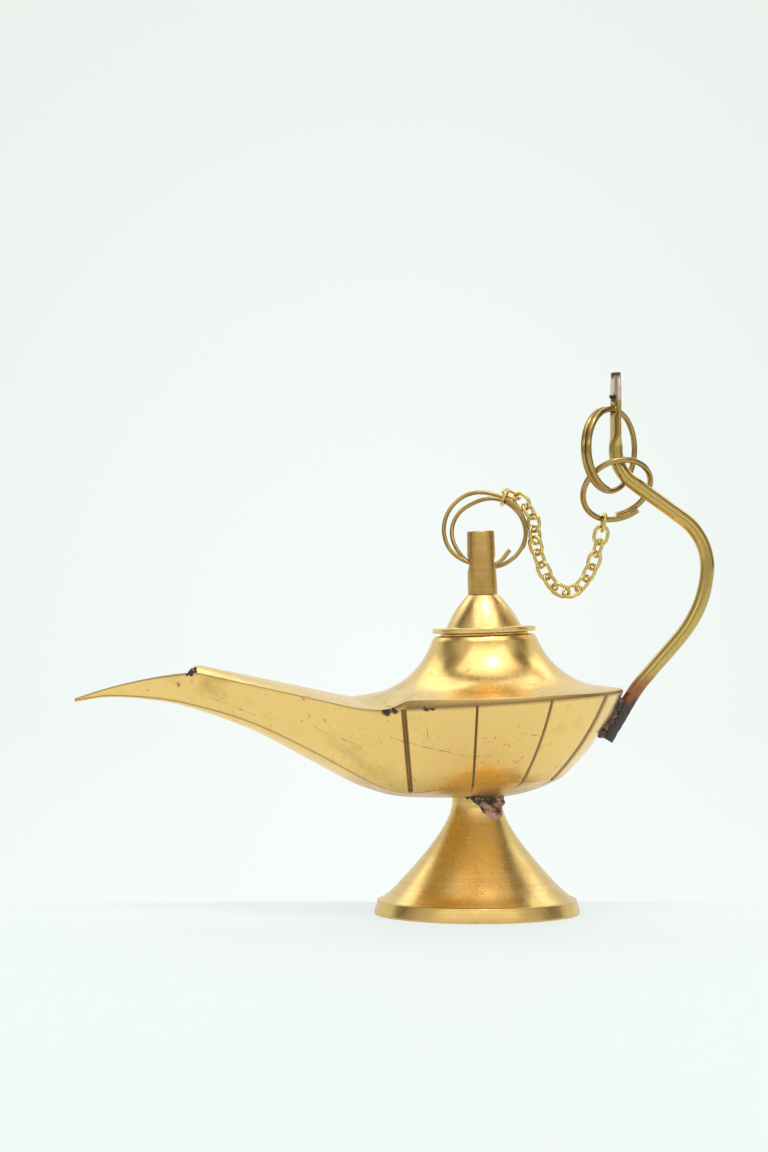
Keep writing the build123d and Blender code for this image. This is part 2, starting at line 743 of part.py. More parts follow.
for i, (middle, way, face) in enumerate(link_places):
    with BuildPart() as chain_link:
        with Locations(Plane(middle, x_dir=way, z_dir=face)):
            add(one_link.part)
    chain_link.part.label = f"chain_link_{i + 1:02d}"
    export_step(chain_link.part, f"parts/chain_link_{i + 1:02d}.step")

# Solder under the bowl, beside the foot's neck
with BuildPart() as foot_solder:
    neck_foot = Vector(0, 0, bowl_base)
    for angle, drop, size in solder_foot_lumps:
        t = radians(angle)
        out = foot_neck_radius * Vector(cos(t), sin(t), 0)
        with Locations(neck_foot + out + down * drop):
            Sphere(solder_foot_radius * size)
    add(foot.part, mode=Mode.SUBTRACT)
    add(bowl.part, mode=Mode.SUBTRACT)
foot_solder.part.label = "foot_solder"
export_step(foot_solder.part, "parts/foot_solder.step")

# Solder beads at the front of the spout's roof, one on each lip
with BuildPart() as spout_solder:
    bead_aside = spout_half_width(spout_roof_front_x) - solder_spout_radius / 2
    bead_height = sheer_height(spout_roof_front_x)
    for side in (1, -1):
        with Locations((spout_roof_front_x, side * bead_aside, bead_height)):
            Sphere(solder_spout_radius)
    add(bowl.part, mode=Mode.SUBTRACT)
    add(top_cover.part, mode=Mode.SUBTRACT)
spout_solder.part.label = "spout_solder"
export_step(spout_solder.part, "parts/spout_solder.step")

# Solder between the rod and the back of the bowl
with BuildPart() as handle_solder:
    bed_low = rim_height - handle_seat_depth + handle_seat_gap
    bed_high = rim_height - handle_seat_top - handle_seat_gap
    with BuildSketch(Plane.XZ):
        with BuildLine():
            Polyline(
                bowl_side(bed_low, -bowl_wall / 2),
                bowl_side(bed_low, rod_radius),
                bowl_side(bed_high, rod_radius),
                bowl_side(bed_high, -bowl_wall / 2),
                close=True,
            )
        make_face()
    extrude(amount=solder_handle_width / 2, both=True)
    add(bowl.part, mode=Mode.SUBTRACT)
    add(top_cover.part, mode=Mode.SUBTRACT)
    add(handle.part, mode=Mode.SUBTRACT)
handle_solder.part.label = "handle_solder"
export_step(handle_solder.part, "parts/handle_solder.step")
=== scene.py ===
"""Looks of the small brass genie lamp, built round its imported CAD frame.

Metres. The lamp stands on z = 0 at the foot's axis, its spout points to -X and the photograph
was taken from -Y. Sizes are written in millimetres, as on a drawing, and scaled by MM.
"""

import json
from functools import reduce
from math import atan2, cos, floor, hypot, pi, radians, sin, sqrt, tan

import bmesh
import bpy
import numpy as np
from mathutils import Matrix, Vector, noise


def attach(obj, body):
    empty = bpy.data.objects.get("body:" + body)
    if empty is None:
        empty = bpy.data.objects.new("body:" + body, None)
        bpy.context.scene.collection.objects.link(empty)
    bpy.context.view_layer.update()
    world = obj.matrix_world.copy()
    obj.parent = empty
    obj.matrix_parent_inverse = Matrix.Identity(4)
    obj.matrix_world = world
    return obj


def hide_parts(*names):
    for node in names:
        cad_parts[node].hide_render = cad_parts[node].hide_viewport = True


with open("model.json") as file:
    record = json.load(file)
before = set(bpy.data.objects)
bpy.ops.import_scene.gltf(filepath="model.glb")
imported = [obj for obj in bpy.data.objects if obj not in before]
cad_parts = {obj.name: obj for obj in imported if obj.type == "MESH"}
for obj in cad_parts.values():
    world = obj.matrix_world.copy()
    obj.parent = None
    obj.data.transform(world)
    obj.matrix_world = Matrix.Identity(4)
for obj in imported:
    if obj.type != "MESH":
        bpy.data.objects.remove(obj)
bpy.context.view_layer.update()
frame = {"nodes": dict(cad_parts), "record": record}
MM = 0.001

# Foot
foot_radius = 24.2
foot_band_height = 3.4
foot_band_batter = 0.8
foot_shoulder_step = 0.7
foot_hollow_waist = (11.8, 12.0)
foot_hollow_step = 1.7
foot_seat = 0.5
foot_neck_radius = 5.9
foot_neck_low = 23.8
foot_wall = 1.6
foot_flare = (
    (foot_radius - foot_band_batter - foot_shoulder_step, foot_band_height),
    (20.2, 5.4),
    (17.1, 8.6),
    (13.4, 12.8),
    (10.6, 16.3),
    (8.5, 19.3),
    (6.9, 22.2),
    (6.0, 24.8),
    (5.8, 26.8),
)

# Bowl and rim
bowl_offset = 2.2
bowl_radius = 31.2
bowl_base = 27.2
rim_height = 50.2
bowl_wall = 1.4
knuckle = (17.5, 31.8)
rim_flare = 23.5
rim_slope = 3.8
back_grooves = ((31.5, 1.3, 0.5), (63.5, 0.48, 0.5))
front_grooves = ((-17.4, 1.6, 0.78, 0.8), (-0.8, -0.6, 0.36, 0.5))
root_angle = 127.5

# Spout
spout_tip = (-94.5, 50.4)
spout_lip = (-79.75, 54.6)
spout_peak = (-65.0, 56.6)
spout_waist_x = bowl_offset - 0.89 * bowl_radius
spout_waist_blend = 5.2
spout_tip_half_width = 0.6
spout_taper_power = 1.6
spout_roof_front = -66.5
spout_roof_crown = 1.6
spout_roof_wall = 1.1
spout_stations = (
    (0.00, 0.985, 0.965),
    (0.08, 1.03, 1.015),
    (0.19, 1.01, 0.985),
    (0.28, 0.95, 0.91),
    (0.43, 0.77, 0.685),
    (0.58, 0.485, 0.36),
    (0.67, 0.29, 0.16),
    (0.75, 0.125, 0.045),
    (0.81, 0.08, 0.01),
    (0.91, 0.14, 0.0),
    (1.00, 0.198, 0.0),
)

# Cover
cover_tilt = radians(2.0)
cover_edge_radius = 32.0
cover_edge_height = 1.5
cover_edge_wall = 1.6
cover_flare = (25.0, 2.6)
cover_throat = (16.2, 7.9)
cover_neck = (12.0, 15.2)
cover_wall = 1.4

# Lid and stem
lid_flange_radius = 12.1
lid_flange_thickness = 1.8
lid_bell = ((8.9, 1.8), (6.75, 5.6), (3.7, 9.4))
lid_gap = 0.6
lid_plug_radius = 10.23
lid_plug_bore = 8.93
lid_plug_depth = 4.5
lid_crown = 0.9
stem_radius = 3.5
stem_top_radius = 3.2
stem_height = 15.0
stem_hole_height = 7.4
stem_hole_radius = 1.775

# Wire rings: radius, wire, rise for each turn, first and last angle
lid_ring_size = (9.2, 1.0, 1.45, -42.0, 655.0)
lid_ring_spread = 0.6
lid_ring_part = 0.95
lid_ring_end_bend = 1.6
lid_ring_lean = radians(22.0)
lid_ring_sway = radians(10.0)
chain_ring_size = (8.4, 1.4, 1.5, -50.0, 345.0)
chain_ring_shift = Vector((0.3, 1.3, -4.3))
chain_ring_normal = Vector((-0.33, 1.0, 0.8)).normalized()
hanging_ring_size = (9.6, 1.35, 1.42, 15.0, 535.0)
hanging_ring_turn = radians(50.0)
hanging_ring_sway = radians(10.0)

# Handle
stern_x = bowl_offset + bowl_radius
handle_rod = 3.4
handle_seat_gap = 0.35
handle_seat_heights = (rim_height - 8.2, rim_height - 0.7)
handle_leave_height = rim_height + 2.8
handle_bends = ((stern_x + 19.75, rim_height + 20.9), (stern_x + 21.5, rim_height + 37.8))
handle_bend_radii = (30.0, 27.0, 14.0, 9.4)
handle_neck_height = rim_height + 53.8
handle_shoulder_height = handle_neck_height + 5.4
handle_flat_height = handle_shoulder_height + 3.4
handle_eye = Vector((stern_x - 0.8, 0.0, handle_flat_height + 5.4))
handle_tip_height = handle_eye.z + 8.8
handle_flat = (1.7, 4.8)
handle_flat_turn = radians(25.0)
handle_eye_radius = 1.55

# Chain
chain_wire = 0.86
chain_inner = (3.4, 2.4)

# Angles in degrees from which the shells' edges are crisp
bowl_edge_sharp = 50
cover_edge_sharp = 45

# Tolerances: points that are one and points on an axis in millimetres, slivers in metres
merge_reach = 0.004
on_axis = 1e-6
sliver = 1e-7

# The upright axes, and the cover's own leaning frame
right = Vector((1, 0, 0))
back = Vector((0, 1, 0))
upright = Vector((0, 0, 1))
down = Vector((0, 0, -1))
up = Vector((-sin(cover_tilt), 0, cos(cover_tilt)))
along = Vector((cos(cover_tilt), 0, sin(cover_tilt)))
cover_origin = Vector((bowl_offset, 0, rim_height))
lid_origin = cover_origin + up * cover_neck[1]
stem_origin = lid_origin + up * lid_bell[2][1]
stem_hole = stem_origin + up * stem_hole_height


def arc_circle(a, b, c):
    """Centre and radius of the circle through three points of a plane."""
    d = 2 * (a[0] * (b[1] - c[1]) + b[0] * (c[1] - a[1]) + c[0] * (a[1] - b[1]))
    s = [p[0] ** 2 + p[1] ** 2 for p in (a, b, c)]
    x = (s[0] * (b[1] - c[1]) + s[1] * (c[1] - a[1]) + s[2] * (a[1] - b[1])) / d
    z = (s[0] * (c[0] - b[0]) + s[1] * (a[0] - c[0]) + s[2] * (b[0] - a[0])) / d
    return x, z, hypot(a[0] - x, a[1] - z)


def arc_points(a, b, c, steps):
    """Points along the arc from a through b to c."""
    x, z, r = arc_circle(a, b, c)
    t0, t1, t2 = [atan2(p[1] - z, p[0] - x) for p in (a, b, c)]
    turn = (t2 - t0) % (2 * pi)
    if (t1 - t0) % (2 * pi) > turn:
        turn -= 2 * pi
    angles = [t0 + turn * i / steps for i in range(steps + 1)]
    return [(x + r * cos(t), z + r * sin(t)) for t in angles]


def eased_line(points, steps):
    """A smooth line through points of a plane."""
    points = [Vector(p) for p in points]
    ends = [2 * points[0] - points[1]] + points + [2 * points[-1] - points[-2]]
    out = []
    for a, b, c, d in zip(ends, ends[1:], ends[2:], ends[3:]):
        for k in range(steps):
            t = k / steps
            bend = (2 * a - 5 * b + 4 * c - d) * t**2 + (3 * b - a - 3 * c + d) * t**3
            out.append(tuple((2 * b + (c - a) * t + bend) / 2))
    return out + [tuple(points[-1])]


def soften(points, radius, steps=4, least_turn=radians(25), most_share=0.4):
    """A closed outline with its sharp corners turned to small rounds; points on the axis stay.

    A corner that turns less than least_turn stays, and a round takes at most a share of a side.
    """
    out = []
    count = len(points)
    for i, p in enumerate(points):
        before, after = Vector(points[i - 1]), Vector(points[(i + 1) % count])
        p = Vector(p)
        d0, d1 = before - p, after - p
        turn = pi - d0.angle(d1, pi)
        if p.x < on_axis or turn < least_turn:
            out.append(tuple(p))
            continue
        reach = min(radius * tan(turn / 2), most_share * d0.length, most_share * d1.length)
        start, end = p + d0.normalized() * reach, p + d1.normalized() * reach
        for k in range(steps + 1):
            s = k / steps
            out.append(tuple(start * (1 - s) ** 2 + p * 2 * s * (1 - s) + end * s**2))
    return out


def placed(name, data):
    """A new object in the scene."""
    made = bpy.data.objects.new(name, data)
    bpy.context.scene.collection.objects.link(made)
    return made


def mark(mesh, painted_shade):
    """Writes how much painted shade each point of a mesh has."""
    worn = mesh.attributes.new("painted_shade", "FLOAT", "POINT")
    worn.data.foreach_set("value", [painted_shade(v.co / MM) for v in mesh.vertices])


def mesh_piece(name, verts, faces, material, sharp=40):
    """A closed, outward-facing, smooth mesh from points in millimetres."""
    mesh = bpy.data.meshes.new(name)
    mesh.from_pydata([tuple(c * MM for c in v) for v in verts], [], faces)
    bm = bmesh.new()
    bm.from_mesh(mesh)
    bmesh.ops.remove_doubles(bm, verts=bm.verts, dist=merge_reach * MM)
    bmesh.ops.dissolve_degenerate(bm, edges=bm.edges, dist=merge_reach * MM / 10)
    bmesh.ops.recalc_face_normals(bm, faces=bm.faces)
    bm.to_mesh(mesh)
    bm.free()
    finish_mesh(mesh, material, sharp)
    return placed(name, mesh)


def finish_mesh(mesh, material, sharp=40):
    """Smooth shading with crisp edges, and one material."""
    mesh.polygons.foreach_set("use_smooth", [True] * len(mesh.polygons))
    mesh.set_sharp_from_angle(angle=radians(sharp))
    mesh.materials.clear()
    mesh.materials.append(material)


def strip(rows, closed_rows=False, closed_cols=False):
    """Vertices and quads of a grid given as rows of points."""
    verts = [p for row in rows for p in row]
    width = len(rows[0])
    faces = []
    for i in range(len(rows) if closed_rows else len(rows) - 1):
        for j in range(width if closed_cols else width - 1):
            a, b = i * width, ((i + 1) % len(rows)) * width
            k = (j + 1) % width
            faces.append((a + j, a + k, b + k, b + j))
    return verts, faces


def spun(name, outline, origin, x_dir, z_dir, material, segments=160):
    """A turned piece: a closed outline of radius and height, spun about an axis."""
    y_dir = z_dir.cross(x_dir)
    rows = []
    for i in range(segments):
        t = 2 * pi * i / segments
        way = x_dir * cos(t) + y_dir * sin(t)
        rows.append([origin + way * r + z_dir * z for r, z in outline])
    verts, faces = strip(rows, closed_rows=True, closed_cols=True)
    return mesh_piece(name, verts, faces, material)


def baked(piece, modifier):
    """Keeps what a modifier makes as the piece's own mesh."""
    graph = bpy.context.evaluated_depsgraph_get()
    mesh = bpy.data.meshes.new_from_object(piece.evaluated_get(graph))
    piece.modifiers.remove(modifier)
    piece.data = mesh
    return mesh


def cut(piece, tool, operation="DIFFERENCE"):
    """Cuts a tool out of a piece, or joins it on, and drops the tool."""
    modifier = piece.modifiers.new("cut", "BOOLEAN")
    modifier.operation = operation
    modifier.solver = "EXACT"
    modifier.object = tool
    material = piece.data.materials[0]
    mesh = baked(piece, modifier)
    bm = bmesh.new()
    bm.from_mesh(mesh)
    bmesh.ops.dissolve_degenerate(bm, edges=bm.edges, dist=sliver)
    bm.to_mesh(mesh)
    bm.free()
    finish_mesh(mesh, material)
    bpy.data.objects.remove(tool)
    return piece


def join(piece, other):
    """Adds another mesh to a piece, and drops its object."""
    bm = bmesh.new()
    bm.from_mesh(piece.data)
    bm.from_mesh(other.data)
    bm.to_mesh(piece.data)
    bm.free()
    bpy.data.objects.remove(other)
    return piece


def rod_between(name, centre, way, radius, length, material, segments=48):
    """A plain round bar, used as a drill."""
    side = way.orthogonal().normalized()
    outline = [(0, -length / 2), (radius, -length / 2), (radius, length / 2), (0, length / 2)]
    return spun(name, outline, centre, side, way, material, segments)


def feed(tree, socket, value):
    """Links a socket to an input, or sets the input to a plain value; colours are made solid."""
    if isinstance(value, bpy.types.NodeSocket):
        tree.links.new(value, socket)
    elif socket.type == "RGBA":
        socket.default_value = (*value, 1)
    else:
        socket.default_value = value


def node(tree, kind, *ordered, **named):
    """A shader or geometry node, with its settings, its named inputs and its first inputs in order."""
    made = tree.nodes.new(kind)
    for key, value in named.items():
        if key in made.bl_rna.properties:
            setattr(made, key, value)
        else:
            feed(tree, made.inputs[key.replace("_", " ")], value)
    for socket, value in zip(made.inputs, ordered):
        feed(tree, socket, value)
    return made


def maths(tree, operation, *values):
    """A calculation with plain values or sockets."""
    return node(tree, "ShaderNodeMath", *values, operation=operation).outputs[0]


def vectors(tree, operation, *values, **named):
    """A calculation with vectors, which gives a vector or, for lengths and products, a value."""
    made = node(tree, "ShaderNodeVectorMath", *values, operation=operation, **named)
    return made.outputs["Value" if operation in ("DISTANCE", "DOT_PRODUCT", "LENGTH") else "Vector"]


# Grain of the finishes: noise per metre, and depths in metres
noise_step = 2.27
age_grain = 70.0
speck_grain = 620.0
polish_grain = 160.0
wave_grain = 55.0
solder_grain = 420.0
scratch_stretch = (70, 900, 900)
scratch_turn = (0.4, 0.9, 0.3)
turned_rings = (3, 3, 1100)
tool_marks = {"turned": (3, 3, 1500), "drawn": (1800, 1800, 25)}
scratch_depth = 0.00004
wave_depth = 0.0005
solder_depth = 0.0003


# Finishes
def blend(tree, share, first, second, data_type="RGBA"):
    """Mixes two colours or values by a share; each may be a socket or a plain value."""
    mix = node(tree, "ShaderNodeMix", share, data_type=data_type)
    at = 6 if data_type == "RGBA" else 2
    feed(tree, mix.inputs[at], first)
    feed(tree, mix.inputs[at + 1], second)
    return mix.outputs[2] if data_type == "RGBA" else mix.outputs[0]


def fade(tree, value, start, end):
    """0 up to start and 1 from end on, eased between."""
    eased = {"interpolation_type": "SMOOTHSTEP", "From_Min": start, "From_Max": end}
    return node(tree, "ShaderNodeMapRange", value, **eased).outputs[0]


def clouds(tree, place, scale, detail=4.0, rough=0.6, stretch=(1, 1, 1), turn=(0, 0, 0)):
    """A noise over the object, which may be stretched and turned."""
    size = tuple(scale * s for s in stretch)
    mapping = node(tree, "ShaderNodeMapping", place.outputs["Object"], Rotation=turn, Scale=size)
    look = {"Scale": 1.0, "Detail": detail, "Roughness": rough, "Lacunarity": noise_step}
    return node(tree, "ShaderNodeTexNoise", mapping.outputs[0], **look).outputs[0]


def wandering(tree, place, reach, scale):
    """Object coordinates that wander by a reach, for ragged edges."""
    where = place.outputs["Object"]
    texture = node(tree, "ShaderNodeTexNoise", where, Scale=scale, Detail=3.0)
    centred = vectors(tree, "SUBTRACT", texture.outputs["Color"], (0.5, 0.5, 0.5))
    return vectors(tree, "ADD", where, vectors(tree, "SCALE", centred, Scale=reach))


def most(tree, shares):
    """The greatest of some shares."""
    return reduce(lambda a, b: maths(tree, "MAXIMUM", a, b), shares)


def attribute_share(name):
    """Share from a mesh attribute, made with the shape."""

    def share(tree, place):
        return node(tree, "ShaderNodeAttribute", attribute_name=name).outputs["Fac"]

    return share


def spots(points, ragged=0.0012, grain=900.0, core=0.45):
    """Share that is full at each point, given in millimetres with its radius."""

    def share(tree, place):
        where = wandering(tree, place, ragged, grain)
        shares = []
        for *centre, radius in points:
            far = vectors(tree, "DISTANCE", where, tuple(c * MM for c in centre))
            shares.append(fade(tree, far, radius * MM, core * radius * MM))
        return most(tree, shares)

    return share


def strokes(lines, width, ragged=0.0009, grain=300.0, core=0.3, breaks=500.0, gaps=(0.35, 0.75)):
    """Share along straight scratches as seen from the side, from x, z to x, z in millimetres."""

    def share(tree, place):
        split = node(tree, "ShaderNodeSeparateXYZ", wandering(tree, place, ragged, grain)).outputs
        face = node(tree, "ShaderNodeCombineXYZ", X=split[0], Z=split[2]).outputs[0]
        shares = []
        for x0, z0, x1, z1 in lines:
            run = Vector((x1 - x0, 0, z1 - z0)) * MM
            offset = vectors(tree, "SUBTRACT", face, (x0 * MM, 0, z0 * MM))
            reach = vectors(tree, "DOT_PRODUCT", offset, run / run.length_squared)
            kept = node(tree, "ShaderNodeClamp", reach).outputs[0]
            far = vectors(tree, "DISTANCE", offset, vectors(tree, "SCALE", run, Scale=kept))
            shares.append(fade(tree, far, width * MM, core * width * MM))
        whole = fade(tree, clouds(tree, place, breaks), *gaps)
        return maths(tree, "MULTIPLY", most(tree, shares), whole)

    return share


def between(start, end, ragged, grain=350.0):
    """Share that grows from one height to another, in millimetres."""

    def share(tree, place):
        split = node(tree, "ShaderNodeSeparateXYZ", wandering(tree, place, ragged, grain))
        return fade(tree, split.outputs["Z"], start * MM, end * MM)

    return share


def new_finish(name):
    """A new material, with its node tree and its shader."""
    material = bpy.data.materials.new(name)
    material.use_nodes = True
    return material, material.node_tree, material.node_tree.nodes["Principled BSDF"]


def dress(tree, shader, looks):
    """Sets or links some named inputs of a shader."""
    for key, value in looks.items():
        feed(tree, shader.inputs[key], value)


def brass(
    name,
    bright,
    aged,
    rough,
    age_share,
    scratch,
    grain=None,
    grain_depth=0.1,
    waves=0.3,
    layers=(),
    specks=1.0,
):
    """Worn brass: clean and aged metal in clouds, specks, fine scratches and the marks of making.

    bright and aged are colours, rough the least and most roughness, age_share how much is aged,
    scratch the depth of the scratches and grain the tool marks, turned or drawn. Each layer is a
    share, a colour, a roughness and how metallic it is, laid over the rest. specks says how many
    dark specks there are, 1 being a fair number.
    """
    material, tree, shader = new_finish(name)
    place = node(tree, "ShaderNodeTexCoord")
    clean, old = 0.62 - 0.4 * age_share, 0.9 - 0.3 * age_share
    age = fade(tree, clouds(tree, place, age_grain, 6.0), clean, old)
    colour = blend(tree, age, bright, aged)
    clear, dark = 0.76 - 0.1 * specks, 0.86 - 0.1 * specks
    speck = fade(tree, clouds(tree, place, speck_grain, 2.0, 0.5), clear, dark)
    colour = blend(tree, speck, colour, tuple(0.75 * a + 0.1 * b for a, b in zip(aged, bright)))
    if grain == "turned":
        rings = fade(tree, clouds(tree, place, 1.0, 3.0, 0.7, turned_rings), 0.4, 0.75)
        colour = blend(tree, rings, colour, blend(tree, 0.45, colour, aged))
    polish = fade(tree, clouds(tree, place, polish_grain, 5.0, 0.65), 0.3, 0.75)
    roughness = blend(tree, polish, *rough, "FLOAT")
    metal = 1.0
    for share, tint, dull, metallic in layers:
        amount = share(tree, place)
        colour = blend(tree, amount, colour, tint)
        roughness = blend(tree, amount, roughness, dull, "FLOAT")
        metal = blend(tree, amount, metal, metallic, "FLOAT")

    height = clouds(tree, place, 1.0, 3.0, 0.7, scratch_stretch, scratch_turn)
    if grain:
        marks = clouds(tree, place, 1.0, 4.0, 0.75, tool_marks[grain])
        height = blend(tree, grain_depth, height, marks, "FLOAT")
    fine = node(tree, "ShaderNodeBump", Strength=scratch, Distance=scratch_depth, Height=height)
    broad = node(
        tree,
        "ShaderNodeBump",
        Strength=waves,
        Distance=wave_depth,
        Height=clouds(tree, place, wave_grain, 2.0, 0.4),
        Normal=fine.outputs[0],
    )
    looks = {"Base Color": colour, "Roughness": roughness, "Metallic": metal, "Normal": broad.outputs[0]}
    dress(tree, shader, looks)
    return material


def braze(name, clean, burnt, share, edge=0.12):
    """Rough solder: copper red and black scale in lumps; share is where the scale begins."""
    material, tree, shader = new_finish(name)
    where = node(tree, "ShaderNodeTexCoord").outputs["Object"]
    texture = node(tree, "ShaderNodeTexNoise", where, Scale=solder_grain, Detail=5.0, Roughness=0.6)
    lumps = texture.outputs[0]
    ramp = node(tree, "ShaderNodeValToRGB", lumps)
    ramp.color_ramp.elements[0].position = share
    ramp.color_ramp.elements[1].position = share + edge
    scale = ramp.outputs[0]
    bump = node(tree, "ShaderNodeBump", Strength=0.8, Distance=solder_depth, Height=lumps)
    looks = {
        "Base Color": blend(tree, scale, clean, burnt),
        "Metallic": node(tree, "ShaderNodeMapRange", scale, To_Min=0.9, To_Max=0.1).outputs[0],
        "Roughness": node(tree, "ShaderNodeMapRange", scale, To_Min=0.35, To_Max=0.8).outputs[0],
        "Normal": bump.outputs[0],
    }
    dress(tree, shader, looks)
    return material


# Colours, then marks in millimetres: spots by x, y, z and radius, scratches from x, z to x, z
soot = (0.045, 0.03, 0.022)
umber = (0.25, 0.15, 0.065)
gold = (0.9, 0.61, 0.215)
gold_aged = (0.64, 0.4, 0.125)
scale_red = (0.36, 0.14, 0.075)
scale_grey = (0.085, 0.07, 0.062)
tip_pink = (0.8, 0.62, 0.54)
tip_dark = (0.12, 0.07, 0.045)
seam_burns = [
    (-21.4, -22.5, 48.3, 1.7),
    (-19.6, -23.4, 48.5, 1.2),
    (-12.4, -27.7, 49.1, 1.2),
    (-10.9, -28.2, 49.3, 0.9),
]
spout_stains = [(-69.8, -3, 54.0, 1.1), (-53.2, -5, 48.8, 1.6)]
bowl_scratches = [
    (-20.5, 42.2, -14.0, 40.6),
    (-14.0, 40.6, -1.5, 37.9),
    (-1.5, 37.9, 2.5, 38.3),
    (-62.0, 50.6, -52.0, 46.8),
    (-38.0, 44.2, -27.0, 39.8),
    (9.0, 43.5, 14.0, 42.6),
    (-12.0, 44.6, -11.6, 41.6),
    (-16.0, 33.8, -14.6, 32.2),
]
bowl_layers = [
    # painted shade on the bowl, read from its mesh attribute
    (attribute_share("painted_shade"), umber, 0.5, 0.7),
    (strokes(bowl_scratches, 0.16), umber, 0.4, 0.9),
    (spots(seam_burns), soot, 0.7, 0.3),
    (spots(spout_stains), umber, 0.5, 0.8),
]
cover_layers = [
    # painted shade on the cover's edge, read from its mesh attribute
    (attribute_share("painted_shade"), umber, 0.45, 0.8),
    (spots(seam_burns), soot, 0.7, 0.3),
]
eye_burr = handle_eye + Vector((-1.0, -1.1, 2.9))
rod_layers = [
    (between(57.5, 53.0, 0.003), scale_red, 0.4, 1.0),
    (between(51.5, 48.5, 0.005), scale_grey, 0.65, 0.4),
    (between(119.4, 121.2, 0.002), tip_pink, 0.3, 1.0),
    (between(125.2, 126.4, 0.003), tip_dark, 0.6, 0.5),
    (spots([(*eye_burr, 1.5)]), soot, 0.6, 0.4),
]

# Metals: the bright colour, the aged one, and the least and most roughness
bowl_metal = (gold, gold_aged, (0.13, 0.34))
cover_metal = (gold, gold_aged, (0.2, 0.34))
foot_metal = ((0.84, 0.58, 0.21), (0.6, 0.36, 0.11), (0.22, 0.35))
lid_metal = ((0.92, 0.65, 0.26), (0.66, 0.42, 0.15), (0.2, 0.38))
stem_metal = ((0.66, 0.42, 0.14), (0.44, 0.26, 0.07), (0.26, 0.42))
rod_metal = ((0.56, 0.4, 0.13), (0.34, 0.22, 0.06), (0.13, 0.24))
# The rings' brass is darker than the rest: painted shade for the dark surroundings the rings reflect.
ring_metal_shaded = ((0.43, 0.29, 0.1), (0.24, 0.14, 0.045), (0.13, 0.25))
chain_metal = ((0.72, 0.56, 0.2), (0.46, 0.33, 0.1), (0.16, 0.28))
turned = {"grain": "turned", "grain_depth": 0.5}
deep_turned = {"grain": "turned", "grain_depth": 0.9}
drawn = {"grain": "drawn", "grain_depth": 0.4}
bowl_brass = brass("bowl_brass", *bowl_metal, age_share=0.3, scratch=0.4, layers=bowl_layers)
cover_brass = brass("cover_brass", *cover_metal, age_share=0.3, scratch=0.3, layers=cover_layers)
foot_brass = brass("foot_brass", *foot_metal, age_share=0.2, scratch=0.8, **deep_turned, specks=0.2)
lid_brass = brass("lid_brass", *lid_metal, age_share=0.3, scratch=0.4, **turned)
stem_brass = brass("stem_brass", *stem_metal, age_share=0.5, scratch=0.5, **turned)
rod_marks = {**drawn, "waves": 0.12, "layers": rod_layers, "specks": 0}
rod_brass = brass("rod_brass", *rod_metal, age_share=0.3, scratch=0.05, **rod_marks)
# ring brass, its colours darkened as painted shade
ring_brass_shaded = brass("ring_brass_shaded", *ring_metal_shaded, age_share=0.35, scratch=0.04, waves=0.08, specks=0)
chain_brass = brass("chain_brass", *chain_metal, age_share=0.25, scratch=0.05, waves=0.08, specks=0)
foot_braze = braze("foot_braze", (0.56, 0.3, 0.25), (0.09, 0.066, 0.056), share=0.43)
lip_braze = braze("lip_braze", (0.16, 0.1, 0.07), (0.03, 0.024, 0.022), share=0.38)
dark_braze = braze("dark_braze", (0.2, 0.135, 0.11), (0.075, 0.06, 0.053), share=0.45)


# Bowl and spout: ribs along the side, round the stern and back along the other side
def sheer(x):
    """Height of the seam between the two shells at x."""
    if x <= spout_peak[0]:
        cx, cz, r = arc_circle(spout_tip, spout_lip, spout_peak)
        side = 1 if spout_lip[1] > cz else -1
        return cz + side * sqrt(max(0.0, r**2 - (x - cx) ** 2))
    rise = tan(radians(rim_slope))
    waist = rim_height + (spout_waist_x - bowl_offset) * rise
    fall = (waist - spout_peak[1]) / (spout_waist_x - spout_peak[0])
    d = x - spout_waist_x
    if abs(d) < spout_waist_blend:
        near = (d + spout_waist_blend) ** 2 / (4 * spout_waist_blend)
        return waist + fall * d + (rise - fall) * near
    return waist + (fall if d < 0 else rise) * d


root_x = bowl_offset + bowl_radius * cos(radians(root_angle))
root_half = bowl_radius * sin(radians(root_angle))
rim_reach = 4.0
rim_top = (bowl_radius + rim_reach * tan(radians(rim_flare)), rim_height + rim_reach)
side_x, side_z, side_r = arc_circle(rim_top, (bowl_radius, rim_height), knuckle)


def half_width(x):
    """Half width of the lower shell at the seam."""
    if x >= root_x:
        return sqrt(max(0.0, bowl_radius**2 - (x - bowl_offset) ** 2))
    share = (x - spout_tip[0]) / (root_x - spout_tip[0])
    return spout_tip_half_width + (root_half - spout_tip_half_width) * max(0.0, share) ** spout_taper_power


def station(share, column):
    """A column of the spout's stations, eased between them."""
    xs = [s[0] for s in spout_stations]
    ys = [s[column] for s in spout_stations]
    i = max(0, min(len(xs) - 2, int(np.searchsorted(xs, share) - 1)))
    h = xs[i + 1] - xs[i]
    t = (share - xs[i]) / h

    def slope(k):
        a, b = max(0, k - 1), min(len(xs) - 1, k + 1)
        return (ys[b] - ys[a]) / (xs[b] - xs[a])

    h00 = 2 * t**3 - 3 * t**2 + 1
    h10 = t**3 - 2 * t**2 + t
    return h00 * ys[i] + h10 * h * slope(i) + (1 - h00) * ys[i + 1] + (t**3 - t**2) * h * slope(i + 1)


def ease(a, b, x):
    """Smooth step from 0 at a to 1 at b."""
    t = min(1.0, max(0.0, (x - a) / (b - a)))
    return t * t * (3 - 2 * t)


side_steps, keel_steps = 26, 18
chine_share = 0.985
side_shares = [k / side_steps for k in range(side_steps)] + [chine_share]
keel_shares = [1.0, chine_share] + [1 - k / keel_steps for k in range(1, keel_steps + 1)]
full_sag = side_r - sqrt(side_r**2 - (hypot(bowl_radius - knuckle[0], rim_height - knuckle[1]) / 2) ** 2)
groove_end = (1.04, 1.18)
groove_most = 0.5

